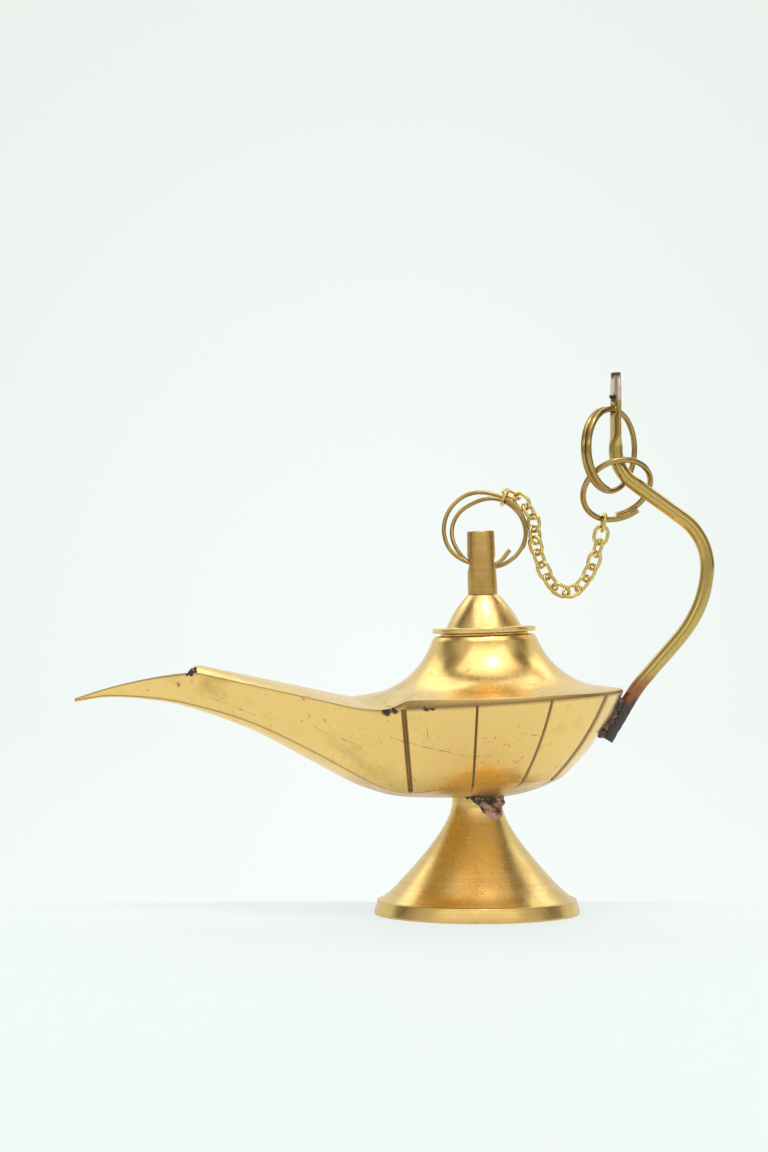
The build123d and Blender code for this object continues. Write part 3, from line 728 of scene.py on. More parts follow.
# The wall's inner face: how it draws in at the chine, and where the channel opens along the spout
chine_inset, chine_rise = 0.4, 0.75
stern_inset, stern_rise = 0.6, 0.8
channel_open = (0.03, 0.1)
bulge_lead = 6


def groove_share(p):
    """How far a point is off the nearest groove's middle, in half widths, and the groove there.

    The groove is given by its depth at the point, and by how much of it is left at that height.
    """
    fall = (sheer(p.x) - p.z) / (rim_height - knuckle[1])
    end = 1 - ease(*groove_end, fall)
    if p.x < bowl_offset:
        offs = [(abs(p.x - x - lean * fall) / half, deep) for x, lean, half, deep in front_grooves]
    else:
        angle = abs(atan2(p.y, p.x - bowl_offset))
        reach = hypot(p.x - bowl_offset, p.y)
        offs = [(reach * abs(angle - radians(a)) / half, deep) for a, half, deep in back_grooves]
    off, deep = min(offs)
    return off, deep * end * max(0.0, 1 - off**2) ** 2, end


def spout_rib(x, side, inset):
    """Half a section of the spout or the bowl's front half, from the seam down to the keel."""
    share = (x - spout_tip[0]) / (bowl_offset - spout_tip[0])
    half = half_width(x)
    ratio = knuckle[0] / bowl_radius
    thin = inset * half * ratio / (half * ratio + inset) if inset else 0.0
    full = ease(root_x, bowl_offset, x)
    thin += (inset - thin) * full
    lift = spout_tip[1] - bowl_base
    seam = Vector((half - thin, sheer(x)))
    chine_half = half * ratio - thin * (1 - chine_inset * full)
    chine = Vector((chine_half, bowl_base + lift * station(share, 1) + chine_rise * thin))
    keel = bowl_base + lift * station(share, 2) + thin
    if inset:
        open_share = ease(*channel_open, share)
        chine.y = seam.y - (seam.y - chine.y) * open_share
        keel = seam.y - (seam.y - keel) * open_share
    bulge = full_sag * ease(root_x - bulge_lead, bowl_offset, x)
    row = []
    chord = chine - seam
    normal = Vector((-chord.y, chord.x)).normalized()
    for v in side_shares:
        p = seam + chord * v + normal * bulge * 4 * v * (1 - v)
        if not inset:
            p.x -= min(groove_share(Vector((x, side * p.x, p.y)))[1], groove_most * p.x)
        row.append(Vector((x, side * p.x, p.y)))
    drop = chine.y - keel
    for w in keel_shares:
        p = Vector((x, side * chine.x * w, keel + drop * w**2))
        if not inset:
            p.z += groove_share(p)[1] * w
        row.append(p)
    return row


def stern_rib(angle, inset):
    """Half a section of the bowl's back half at an angle round its axis."""
    low = Vector((knuckle[0] - stern_inset * inset, knuckle[1] + stern_rise * inset))
    row = []
    top = sheer(bowl_offset + bowl_radius * cos(angle))
    for v in side_shares:
        z = top + (low.y - top) * v
        r = side_x + sqrt(side_r**2 - (z - side_z) ** 2) - inset * (1 - chine_inset * v)
        if not inset:
            r -= groove_share(Vector((bowl_offset + r * cos(angle), r * sin(angle), z)))[1]
        row.append((r, z))
    drop = low.y - bowl_base - inset
    for w in keel_shares:
        row.append((low.x * w, bowl_base + inset + drop * w**2))
    return [Vector((bowl_offset + r * cos(angle), r * sin(angle), z)) for r, z in row]


# Ribs: how many on the spout, the bowl's front and its stern, and how many and how far at a groove
spout_ribs, front_ribs, stern_ribs = 60, 70, 46
back_groove_ribs, back_groove_reach = 17, 2.6
front_groove_ribs, front_groove_reach = 25, 1.2
spout_end, front_start = -40.0, -39.5


def rib_stops():
    """Where the ribs stand, by x and by angle: close together at each groove."""
    spout = list(np.linspace(spout_tip[0], spout_end, spout_ribs))
    spout += list(np.linspace(front_start, bowl_offset, front_ribs))
    stern = list(np.linspace(-90.0, 0.0, stern_ribs))
    for centre, half, _ in back_grooves:
        steps = np.linspace(-back_groove_reach, back_groove_reach, back_groove_ribs)
        stern += [-centre - d * half for d in steps]
    for centre, lean, half, _ in front_grooves:
        first, last = min(centre, centre + lean), max(centre, centre + lean)
        reach = front_groove_reach * half
        spout += list(np.linspace(first - reach, last + reach, front_groove_ribs))
    return sorted(set(spout)), sorted(set(stern + [-a for a in stern]))


# Painted shade on the bowl: how dark it is in each place, and where it fades
groove_shade, seam_shade, chine_shade, belly_shade = 0.9, 0.75, 0.7, 0.45
groove_spread = (0.3, 1.15)
seam_spread = (0.1, 0.5)
chine_spread = (0.05, 0.3)
chine_fade = 8
belly_span = (0.5, 8)


def bowl_painted_shade(p):
    """Painted shade in the grooves, close under the seam and on the spout's chine, and a painted browner
    underside for the shade it reflects.
    """
    off, _, end = groove_share(p)
    in_groove = end * (1 - ease(*groove_spread, off))
    low = 1 - ease(*(bowl_base + z for z in belly_span), p.z)
    under_seam = 1 - ease(*seam_spread, sheer(p.x) - p.z)
    share = (p.x - spout_tip[0]) / (bowl_offset - spout_tip[0])
    chine = bowl_base + (spout_tip[1] - bowl_base) * station(max(0.0, min(1.0, share)), 1)
    on_spout = 1 - ease(root_x - chine_fade, root_x, p.x)
    on_chine = (1 - ease(*chine_spread, abs(p.z - chine))) * on_spout
    return max(groove_shade * in_groove, seam_shade * under_seam, chine_shade * on_chine, belly_shade * low)


def lower_shell():
    """The bowl and spout as one shell with a wall."""
    spout, stern = rib_stops()
    shells = []
    for inset in (0.0, bowl_wall):
        rows = [spout_rib(x, -1, inset) for x in spout[:-1]]
        rows += [stern_rib(radians(a), inset) for a in stern]
        rows += [spout_rib(x, 1, inset) for x in reversed(spout[:-1])]
        shells.append(rows)
    verts, faces = strip(shells[0])
    inner_verts, inner_faces = strip(shells[1])
    shift = len(verts)
    width = len(shells[0][0])
    count = len(shells[0])
    faces += [tuple(shift + i for i in reversed(f)) for f in inner_faces]
    verts += inner_verts
    for i in range(count - 1):
        a, b = i * width, (i + 1) * width
        faces.append((a, b, shift + b, shift + a))
    last = (count - 1) * width
    for j in range(width - 1):
        faces.append((j, j + 1, last + j + 1, last + j))
        faces.append((shift + j, shift + last + j, shift + last + j + 1, shift + j + 1))
    faces.append((0, last, shift + last, shift))
    return mesh_piece("bowl_shell", verts, faces, bowl_brass, bowl_edge_sharp)


def dome_height(angle, r):
    """Height of the seam in the cover's leaning frame, at an angle and radius."""
    x = bowl_offset + r * cos(angle)
    return (sheer(x) - rim_height - r * cos(angle) * sin(cover_tilt)) / cos(cover_tilt)


def brim_height(angle, roof_gap=0.06, before=4, after=12):
    """Height of the brim's edge: even round the bowl, and just under the roof where the spout leaves.

    It changes over from some degrees before the spout's root to some after it.
    """
    away = abs(atan2(sin(angle), cos(angle)))
    x = bowl_offset + cover_edge_radius * cos(angle)
    across = cover_edge_radius * sin(angle) / max(half_width(x), 1.0)
    roof = dome_height(angle, cover_edge_radius) + spout_roof_crown * max(0.0, 1 - across**2) - roof_gap
    share = ease(radians(root_angle - before), radians(root_angle + after), away)
    return cover_edge_height + (roof - cover_edge_height) * share


def rim_painted_shade(p, edge_brown=0.42, seam_brown=0.5, edge=(0.5, 0.1), seam=0.6, clear=2):
    """Painted shade, brown on the cover's edge, darkest at the seam, and none by the spout."""
    offset = p - cover_origin
    r = (offset - up * offset.dot(up)).length
    on_edge = ease(*(cover_edge_radius - e for e in edge), r)
    low = 1 - ease(0.0, seam, p.z - sheer(p.x))
    away = abs(atan2(offset.y, offset.x))
    by_spout = ease(radians(root_angle - clear), radians(root_angle + clear), away)
    return on_edge * (edge_brown + seam_brown * low) * (1 - by_spout)


# Rounds of the cover: steps off the brim's edge, and off the top of the neck
cover_segments = 240
brim_round = ((0.0, -0.25), (-0.1, -0.07), (-0.35, 0.03))
brim_from = 24
brim_seat = 0.1
seam_gap = 0.02
neck_round_from = 0.7
neck_round = ((0.02, -0.6), (-0.12, -0.3), (-0.5, -0.06))
bore_round = 0.1


def cover_dome(outer_steps=40, inner_steps=30):
    """The spun dome with its neck and a rim that follows the seam."""
    cx, cz, flare_r = arc_circle(cover_flare, cover_throat, cover_neck)
    thicken = (flare_r + cover_wall) / flare_r

    def inside(p):
        return cx + (p[0] - cx) * thicken, cz + (p[1] - cz) * thicken

    neck, top = cover_neck
    bore = cx - sqrt((flare_r + cover_wall) ** 2 - (top - cz) ** 2)
    outer = arc_points(cover_flare, cover_throat, cover_neck, outer_steps)
    outline = [p for p in outer if p[1] < top - neck_round_from]
    outline += [(neck + r, top + z) for r, z in neck_round] + [(bore + bore_round, top)]
    outline += arc_points((bore, top), inside(cover_throat), inside(cover_flare), inner_steps)[1:]
    under = cover_edge_radius - cover_edge_wall
    outline += [(under, brim_seat), (under, None)]
    rows = []
    for i in range(cover_segments):
        t = 2 * pi * i / cover_segments
        way = along * cos(t) + back * sin(t)
        brim = brim_height(t)
        edge = [(cover_edge_radius, None)] + [(cover_edge_radius + r, brim + z) for r, z in brim_round]
        row = []
        for r, z in edge + outline:
            seam = dome_height(t, r)
            if z is None:
                z = seam
            elif r > brim_from:
                z = max(z, seam + seam_gap)
            row.append(cover_origin + way * r + up * z)
        rows.append(row)
    verts, faces = strip(rows, closed_rows=True, closed_cols=True)
    return mesh_piece("cover_dome", verts, faces, cover_brass, cover_edge_sharp)


def spout_roof(end=-15.0, steps=58, arch=20, seam_lift=0.01, crown_thin=0.75):
    """The arched roof of the spout, open at its front, which ends inside the dome."""
    rows = []
    for i in range(steps + 1):
        x = spout_roof_front + (end - spout_roof_front) * i / steps
        half = half_width(x)
        thin = spout_roof_wall * half / (half + spout_roof_wall)
        seam = sheer(x) + seam_lift
        row = []
        for k in range(arch + 1):
            t = -1 + 2 * k / arch
            row.append(Vector((x, half * t, seam + spout_roof_crown * (1 - t * t))))
        for k in range(arch + 1):
            t = 1 - 2 * k / arch
            crown = (spout_roof_crown - crown_thin * spout_roof_wall) * (1 - t * t)
            row.append(Vector((x, (half - thin) * t, seam + crown)))
        rows.append(row)
    verts, faces = strip(rows, closed_cols=True)
    width = len(rows[0])
    last = steps * width
    for k in range(arch):
        faces.append((k, k + 1, width - 2 - k, width - 1 - k))
        faces.append((last + k, last + width - 1 - k, last + width - 2 - k, last + k + 1))
    return mesh_piece("spout_roof", verts, faces, cover_brass, cover_edge_sharp)


# Turned pieces, with the rounds of their edges
foot_round = 0.35
lid_round = 0.3
stem_round = 0.35


def turned_foot(flare_steps=8, hollow_steps=24):
    """The flared foot with its band, hollow underneath."""
    top = bowl_base + foot_seat
    hollow_top = (foot_neck_radius - foot_wall, foot_neck_low - foot_wall)
    hollow_rim = foot_radius - foot_band_batter - foot_wall
    outline = [(hollow_rim, 0), (foot_radius, 0), (foot_radius - foot_band_batter, foot_band_height)]
    outline += eased_line(foot_flare, flare_steps)
    outline += [(foot_flare[-1][0], top), (0, top), (0, hollow_top[1])]
    outline += arc_points(hollow_top, foot_hollow_waist, (hollow_rim, foot_hollow_step), hollow_steps)
    return spun("foot_turning", soften(outline, foot_round), Vector(), right, upright, foot_brass)


def foot_line(z):
    """Radius of the foot's neck at a height."""
    flare = sorted(foot_flare, key=lambda p: p[1])
    return float(np.interp(z, [p[1] for p in flare], [p[0] for p in flare]))


def turned_lid(bell_steps=24):
    """The lid with its flange, bell and hollow plug."""
    outline = [(0, lid_crown), (lid_plug_bore, lid_crown), (lid_plug_bore, -lid_plug_depth)]
    outline += [(lid_plug_radius, -lid_plug_depth), (lid_plug_radius, lid_gap)]
    outline += [(lid_flange_radius, lid_gap), (lid_flange_radius, lid_flange_thickness)]
    outline += arc_points(*lid_bell, bell_steps) + [(0, lid_bell[2][1])]
    return spun("lid_turning", soften(outline, lid_round), lid_origin, along, up, lid_brass)


def turned_stem(segments=96, drill_length=12):
    """The browner pin on the lid with a hole across it."""
    outline = [(0, 0), (stem_radius, 0), (stem_top_radius, stem_height), (0, stem_height)]
    stem = spun("stem_turning", soften(outline, stem_round), stem_origin, along, up, stem_brass, segments)
    drill = rod_between("stem_drill", stem_hole, along, stem_hole_radius, drill_length, stem_brass)
    return cut(stem, drill)


# Wire rings
def ring_line(centre, x_dir, z_dir, size, height, bulge=lambda angle: 0.0, step=3.0):
    """Centre line of a wire ring: half turns on circles that tilt from one height to the next.

    bulge is how far the wire strays out of its circle at an angle.
    """
    radius, _, _, start, end = size
    y_dir = z_dir.cross(x_dir)
    count = int((end - start) / step)
    line = []
    for i in range(count + 1):
        angle = start + (end - start) * i / count
        half_turn = floor(angle / 180)
        low, high = height(half_turn), height(half_turn + 1)
        side = 1 if half_turn % 2 == 0 else -1
        t = radians(angle - 180 * half_turn)
        out = 1 + bulge(angle) / radius
        x = side * radius * cos(t) * out
        y = side * hypot(radius, (high - low) / 2) * sin(t) * out
        z = (low + high) / 2 + (low - high) / 2 * cos(t)
        line.append(centre + x_dir * x + y_dir * y + z_dir * z)
    return line


def empty_tree(name, output, **inputs):
    """A Geometry Nodes tree with named inputs and one output, and the sockets of its inputs."""
    tree = bpy.data.node_groups.new(name, "GeometryNodeTree")
    for key, kind in inputs.items():
        tree.interface.new_socket(key, in_out="INPUT", socket_type=f"NodeSocket{kind}")
    tree.interface.new_socket(output, in_out="OUTPUT", socket_type="NodeSocketGeometry")
    return tree, node(tree, "NodeGroupInput").outputs


def closed_tree(tree, geometry, finish):
    """Ends a tree: its instances made real, and one material."""
    real = node(tree, "GeometryNodeRealizeInstances", geometry)
    paint = node(tree, "GeometryNodeSetMaterial", Geometry=real.outputs[0], Material=finish)
    node(tree, "NodeGroupOutput", paint.outputs[0])
    return tree


def tube_of(tree, line, radius, sides, caps):
    """A round tube along a curve."""
    profile = node(tree, "GeometryNodeCurvePrimitiveCircle", Radius=radius, Resolution=sides).outputs[0]
    ends = {"Curve": line, "Profile Curve": profile, "Fill Caps": caps}
    return node(tree, "GeometryNodeCurveToMesh", **ends).outputs[0]


def wire_tree():
    """Geometry Nodes: a round wire along the edges of a mesh line."""
    sockets = {"Line": "Geometry", "Radius": "Float", "Sides": "Int", "Finish": "Material"}
    tree, given = empty_tree("round_wire", "Wire", **sockets)
    line = node(tree, "GeometryNodeMeshToCurve", Mesh=given["Line"]).outputs[0]
    tube = tube_of(tree, line, given["Radius"], given["Sides"], True)
    return closed_tree(tree, tube, given["Finish"])


def link_tree(steps=44, sides=16):
    """Geometry Nodes: an oval wire link on each point of a mesh, turned by its Turn attribute."""
    sizes = {"Bend": "Float", "Straight": "Float", "Radius": "Float"}
    tree, given = empty_tree("wire_links", "Links", Places="Geometry", **sizes, Finish="Material")
    oval = node(tree, "GeometryNodeCurvePrimitiveCircle", Radius=given["Bend"], Resolution=steps)
    split = node(tree, "ShaderNodeSeparateXYZ", node(tree, "GeometryNodeInputPosition").outputs[0])
    push = maths(tree, "MULTIPLY", maths(tree, "SIGN", split.outputs[0]), given["Straight"])
    offset = node(tree, "ShaderNodeCombineXYZ", push)
    stretch = node(tree, "GeometryNodeSetPosition", Geometry=oval.outputs[0], Offset=offset.outputs[0])
    tube = tube_of(tree, stretch.outputs[0], given["Radius"], sides, False)
    turn = node(tree, "GeometryNodeInputNamedAttribute", data_type="FLOAT_VECTOR", Name="Turn")
    angles = node(tree, "FunctionNodeEulerToRotation", turn.outputs[0]).outputs[0]
    put = {"Points": given["Places"], "Instance": tube, "Rotation": angles}
    links = node(tree, "GeometryNodeInstanceOnPoints", **put).outputs[0]
    return closed_tree(tree, links, given["Finish"])


def grow(name, mesh, tree, values, material):
    """Runs a node tree on a mesh and keeps the result as a plain mesh."""
    piece = placed(name, mesh)
    modifier = piece.modifiers.new("grow", "NODES")
    modifier.node_group = tree
    for item in tree.interface.items_tree:
        if item.in_out == "INPUT" and item.name in values:
            modifier[item.identifier] = values[item.name]
    result = baked(piece, modifier)
    bm = bmesh.new()
    bm.from_mesh(result)
    bmesh.ops.recalc_face_normals(bm, faces=bm.faces)
    bm.to_mesh(result)
    bm.free()
    finish_mesh(result, material)
    return piece


round_wire = wire_tree()
wire_links = link_tree()


def wire_piece(name, line, wire, material, sides=20):
    """A wire ring grown along its centre line."""
    mesh = bpy.data.meshes.new(name + "_line")
    mesh.from_pydata([tuple(p * MM) for p in line], [(i, i + 1) for i in range(len(line) - 1)], [])
    values = {"Radius": wire / 2 * MM, "Sides": sides, "Finish": material}
    return grow(name, mesh, round_wire, values, material)


# Where the coils of the lid's ring change over, part and meet, and its first end bends, in degrees
coil_swap = 318
coil_parting = (8, 70)
coil_meeting = (150, 204)
coil_end = (-6, -42)


def lid_ring_height(k):
    """Height of the lid ring's wire after k half turns; its coils fan out away from the stem."""
    fan = lid_ring_spread / 2 * (k - 2) if k % 2 else 0
    return lid_ring_size[2] * (k - 1) / 2 + fan


def coil_stray(angle):
    """The coils part from the stem round to the chain, and the first end is bent in."""
    side = 1 if angle < coil_swap else -1
    local = angle if side == 1 else angle - 360
    apart = ease(*coil_parting, local) * (1 - ease(*coil_meeting, local))
    return side * lid_ring_part * apart - lid_ring_end_bend * ease(*coil_end, local) * (side == 1)


def split_ring():
    """The lid's ring of nearly two turns, leaning back in the stem's hole."""
    radius = lid_ring_size[0]
    ring_up = up * cos(lid_ring_lean) + back * sin(lid_ring_lean)
    aside = radius * sin(lid_ring_sway)
    lifts = [sqrt(radius**2 - (side * stem_radius - aside) ** 2) for side in (1, -1)]
    centre = stem_hole + along * aside + ring_up * (sum(lifts) / 2)
    line = ring_line(centre, -ring_up, ring_up.cross(along), lid_ring_size, lid_ring_height, coil_stray)
    return wire_piece("lid_split_ring", line, lid_ring_size[1], ring_brass_shaded)


def even_rise(size, level_at):
    """Heights of a ring's wire that rise evenly with its half turns, through 0 at one of them."""
    return lambda k: size[2] * (k - level_at) / 2


def rod_ring():
    """The open ring round the rod that carries the chain."""
    x_dir = (down - chain_ring_normal * down.dot(chain_ring_normal)).normalized()
    centre = Vector((handle_eye.x, 0, handle_neck_height)) + chain_ring_shift
    line = ring_line(centre, x_dir, chain_ring_normal, chain_ring_size, even_rise(chain_ring_size, 1))
    return wire_piece("rod_ring", line, chain_ring_size[1], ring_brass_shaded)


def eye_ring():
    """The loose ring of about a turn and a half through the eye."""
    run = Vector((cos(hanging_ring_turn), sin(hanging_ring_turn), 0))
    hang = down * cos(hanging_ring_sway) - run * sin(hanging_ring_sway)
    centre = handle_eye + hang * hanging_ring_size[0]
    rise = even_rise(hanging_ring_size, 2)
    line = ring_line(centre, -hang, down.cross(run), hanging_ring_size, rise)
    return wire_piece("eye_ring", line, hanging_ring_size[1], ring_brass_shaded)


# Chain links stand where the frame's links do
def link_place(name, digits=7, rounds=3):
    """Middle, long axis and face of a chain link, from the points of its CAD node."""
    mesh = frame["nodes"][name].data
    points = np.empty(len(mesh.vertices) * 3)
    mesh.vertices.foreach_get("co", points)
    points = np.unique(np.round(points.reshape(-1, 3), digits), axis=0)
    middle = (points.max(0) + points.min(0)) / 2
    for _ in range(rounds):
        spread = np.linalg.svd(points - middle, full_matrices=False)[2]
        local = (points - middle) @ spread.T
        middle = middle + ((local.max(0) + local.min(0)) / 2) @ spread
    x_dir, z_dir = Vector(spread[0]), Vector(spread[2])
    turn = Matrix((x_dir, z_dir.cross(x_dir), z_dir)).transposed()
    return Vector(middle), turn.to_euler()


def chain_piece(name, nodes):
    """Wire links in place of CAD links."""
    places = [link_place(n) for n in nodes]
    mesh = bpy.data.meshes.new(name + "_places")
    mesh.from_pydata([tuple(p) for p, _ in places], [], [])
    turn = mesh.attributes.new("Turn", "FLOAT_VECTOR", "POINT")
    turn.data.foreach_set("vector", [c for _, t in places for c in t])
    values = {
        "Bend": (chain_inner[1] + chain_wire) / 2 * MM,
        "Straight": (chain_inner[0] - chain_inner[1]) / 2 * MM,
        "Radius": chain_wire / 2 * MM,
        "Finish": chain_brass,
    }
    return grow(name, mesh, wire_links, values, chain_brass)


# Handle
def bowl_side(height, stand_off):
    """Point beside the back of the bowl, stood off along the wall's normal."""
    across = sqrt(side_r**2 - (height - side_z) ** 2)
    scale = (side_r + stand_off) / side_r
    return Vector((bowl_offset + side_x + across * scale, side_z + (height - side_z) * scale))


def rod_line(step=0.7, least_step=0.05, least_count=6):
    """Points of the rod's centre line in the plane of symmetry, up to the shoulder."""
    seats = [bowl_side(h, handle_rod / 2 + handle_seat_gap) for h in handle_seat_heights]
    share = (handle_leave_height - seats[0].y) / (seats[1].y - seats[0].y)
    corners = [seats[0], seats[0].lerp(seats[1], share)] + [Vector(p) for p in handle_bends]
    corners += [Vector((handle_eye.x, handle_neck_height)), Vector((handle_eye.x, handle_shoulder_height))]
    line = [corners[0]]
    for i, radius in enumerate(handle_bend_radii, 1):
        p = corners[i]
        d0, d1 = (corners[i - 1] - p).normalized(), (corners[i + 1] - p).normalized()
        turn = pi - d0.angle(d1)
        reach = radius * tan(turn / 2)
        a, b = p + d0 * reach, p + d1 * reach
        heart = p + (d0 + d1).normalized() * hypot(radius, reach)
        mid = heart + (p - heart).normalized() * radius
        start = line[-1]
        steps = int((a - start).length / step) + 1
        line += [start.lerp(a, k / steps) for k in range(1, steps)]
        count = max(least_count, int(radius * turn / step))
        line += [Vector(q) for q in arc_points(tuple(a), tuple(mid), tuple(b), count)]
    line.append(corners[-1])
    out = []
    for p in line:
        if not out or (p - out[-1]).length > least_step:
            out.append(p)
    return out


def rod_stations(shoulder_steps=8, flat_steps=22, tip_taper=0.16, taper_from=0.75):
    """Stations along the rod and its flat: a point, half the thickness and half the width."""
    stations = [(Vector((p.x, 0, p.y)), handle_rod / 2, handle_rod / 2) for p in rod_line()]
    for k in range(1, shoulder_steps + 1):
        s = k / shoulder_steps
        z = handle_shoulder_height + (handle_flat_height - handle_shoulder_height) * s
        e = ease(0, 1, s)
        thick, wide = [handle_rod / 2 + (size - handle_rod) / 2 * e for size in handle_flat]
        stations.append((Vector((handle_eye.x, 0, z)), thick, wide))
    for k in range(1, flat_steps + 1):
        s = k / flat_steps
        z = handle_flat_height + (handle_tip_height - handle_flat_height) * s
        tip = 1 - tip_taper * ease(taper_from, 1.0, s)
        thick, wide = [size / 2 * tip for size in handle_flat]
        stations.append((Vector((handle_eye.x, 0, z)), thick, wide))
    return stations


# Unevenness of the rod: dents and burnt scale by their share of its radius and their grain, the
# roughness, step and octaves of the scale's noise, and the burr at the eye by steps and radius
rod_sides = 36
rod_dents = (0.04, 0.25)
rod_inset = 0.03
rod_scale = (0.12, 0.7)
crust_noise = (0.8, 2.0, 4)
scale_start = handle_seat_heights[1] - 2
twist_start = handle_shoulder_height - 6
neck_reach = 3
punch_length = 8
burr_blobs = ((0, 0, 0, 0.62), (-0.2, 0, 0.7, 0.5))


def bent_rod():
    """The handle: a hand-bent rod, hammered flat and pierced at its upper end."""
    stations = rod_stations()
    rows = []
    for i, (p, thick, wide) in enumerate(stations):
        ahead = stations[min(i + 1, len(stations) - 1)][0] - stations[max(i - 1, 0)][0]
        ahead.normalize()
        in_neck = p.x < handle_eye.x + neck_reach
        twist = handle_flat_turn * ease(twist_start, handle_flat_height, p.z) if in_neck else 0.0
        side = back.cross(ahead).normalized()
        x_dir = side * cos(twist) + back * sin(twist)
        y_dir = ahead.cross(x_dir)
        burnt = 1 - ease(scale_start, handle_leave_height, p.z)
        row = []
        for j in range(rod_sides):
            t = 2 * pi * j / rod_sides
            q = p + x_dir * thick * cos(t) + y_dir * wide * sin(t)
            dent = rod_dents[0] * noise.noise(q * rod_dents[1]) - rod_inset
            crust = rod_scale[0] * burnt * noise.fractal(q * rod_scale[1], *crust_noise)
            q += (q - p) * (dent + crust)
            row.append(q)
        rows.append(row)
    verts, faces = strip(rows, closed_cols=True)
    faces.append(tuple(range(rod_sides)))
    last = (len(rows) - 1) * rod_sides
    faces.append(tuple(reversed(range(last, last + rod_sides))))
    rod = mesh_piece("bent_rod", verts, faces, rod_brass)
    eye_way = Vector((cos(handle_flat_turn), sin(handle_flat_turn), 0))
    punch = rod_between("eye_punch", handle_eye, eye_way, handle_eye_radius, punch_length, rod_brass)
    burr_places = [(eye_burr - Vector(step), size) for *step, size in burr_blobs]
    return join(cut(rod, punch), lump("eye_burr", burr_places, rod_brass, rough=0.6, detail=3))


# Solder, smooth but for edges past this angle in degrees
solder_edge = 80


def lump(name, places, material, rough, detail=4, least=0.92, grain=0.9):
    """Rough blobs of solder: places are points and radii."""
    bm = bmesh.new()
    for centre, size in places:
        made = bmesh.ops.create_icosphere(bm, subdivisions=detail, radius=1.0)["verts"]
        for v in made:
            way = v.co.normalized()
            q = Vector(centre) + way * size
            v.co = (Vector(centre) + way * size * (least + rough * noise.noise(q * grain))) * MM
    mesh = bpy.data.meshes.new(name)
    bm.to_mesh(mesh)
    bm.free()
    finish_mesh(mesh, material, solder_edge)
    return placed(name, mesh)


# Smear of braze: its grid, its reach round the neck, and how its lower end falls and climbs
smear_columns, smear_steps = 64, 36
smear_span = (radians(-118), radians(-12))
smear_top, smear_bottom = bowl_base + 0.4, bowl_base - 5.6
smear_least = 0.6
smear_fall, fall_span = 4.6, (-1.95, -0.9)
smear_climb, climb_span = 2.4, (-0.75, -0.2)
smear_ragged, ragged_grain, ragged_noise = 0.9, 0.5, (0.8, 2.1, 4)
smear_edge = (-0.5, 0.9)
smear_thick = 0.75
smear_lumps, lump_grain, lump_noise = 0.6, 0.9, (0.7, 2.0, 4)
smear_root = 0.25
smear_sunk = 0.7


def smear_point(t, z, sunk):
    """A point of the braze on the foot's neck, at an angle and a height."""
    way = Vector((cos(t), sin(t), 0))
    at = way * foot_neck_radius + Vector((0, 0, z))
    low = smear_top - smear_least - smear_fall * ease(*fall_span, t) + smear_climb * ease(*climb_span, t)
    ragged = noise.fractal(at * ragged_grain, *ragged_noise)
    spread = ease(*smear_edge, z - low + smear_ragged * ragged)
    lumps = noise.fractal(at * lump_grain, *lump_noise)
    thick = spread * (smear_thick + smear_lumps * lumps) - smear_root
    return way * (foot_line(z) + thick - sunk * (1 + thick)) + Vector((0, 0, z))


def foot_lump():
    """A ragged smear of braze on the foot's neck, under the bowl and to the right."""
    first, last = smear_span
    angles = [first + (last - first) * j / smear_columns for j in range(smear_columns + 1)]
    rows = []
    for i in range(smear_steps + 1):
        z = smear_top + (smear_bottom - smear_top) * i / smear_steps
        outer, inner = [[smear_point(t, z, sunk) for t in angles] for sunk in (0.0, smear_sunk)]
        rows.append(outer + inner[::-1])
    verts, faces = strip(rows, closed_cols=True)
    width = len(rows[0])
    final = smear_steps * width
    for j in range(smear_columns):
        faces.append((j + 1, j, width - 1 - j, width - 2 - j))
        faces.append((final + j, final + j + 1, final + width - 2 - j, final + width - 1 - j))
    return mesh_piece("foot_lump", verts, faces, foot_braze, sharp=solder_edge)


# Beads on the spout's lips: steps along and up, and radius
lip_bead_steps = ((-1.3, -0.35, 0.5), (-0.6, 0.0, 0.75), (0.0, 0.45, 0.8), (0.5, 1.0, 0.5))
lip_bead_inset = 0.55
lip_bead_lean = 0.3


def lip_beads():
    """Dark beads smeared up the step where the roof ends on the spout's lips."""
    wide = half_width(spout_roof_front) - lip_bead_inset
    lip = sheer(spout_roof_front)
    places = []
    for side in (1, -1):
        for step, rise, size in lip_bead_steps:
            aside = side * (wide - lip_bead_lean * rise)
            places.append(((spout_roof_front + step, aside, lip + rise), size))
    return lump("lip_beads", places, lip_braze, rough=0.5)


# Scale along the rod: rows, first share and step, then how far aside and how big, each with its
# sway and the angle of the sway from row to row
scale_rows = 11
scale_shares = (0.06, 0.1)
scale_aside = (1.3, 0.3, 5)
scale_size = (1.05, 0.15, 3)


def rod_braze():
    """Dark scale between the rod and the back of the bowl."""
    places = []
    low, high = handle_seat_heights
    for k in range(scale_rows):
        p = bowl_side(low + (high - low) * (scale_shares[0] + scale_shares[1] * k), handle_seat_gap)
        aside = scale_aside[0] + scale_aside[1] * sin(scale_aside[2] * k)
        size = scale_size[0] + scale_size[1] * cos(scale_size[2] * k)
        places += [((p.x, side * aside, p.y), size) for side in (1, -1)]
    return lump("rod_braze", places, dark_braze, rough=0.3)


bowl = lower_shell()
# painted shade on the bowl, written as a mesh attribute
mark(bowl.data, bowl_painted_shade)
cover = cut(cover_dome(), spout_roof(), "UNION")
# painted shade on the cover's edge, written as a mesh attribute
mark(cover.data, rim_painted_shade)
foot = turned_foot()
lid = turned_lid()
stem = turned_stem()
lid_ring = split_ring()
chain_ring = rod_ring()
hanging_ring = eye_ring()
handle = bent_rod()
foot_solder = foot_lump()
spout_solder = lip_beads()
handle_solder = rod_braze()

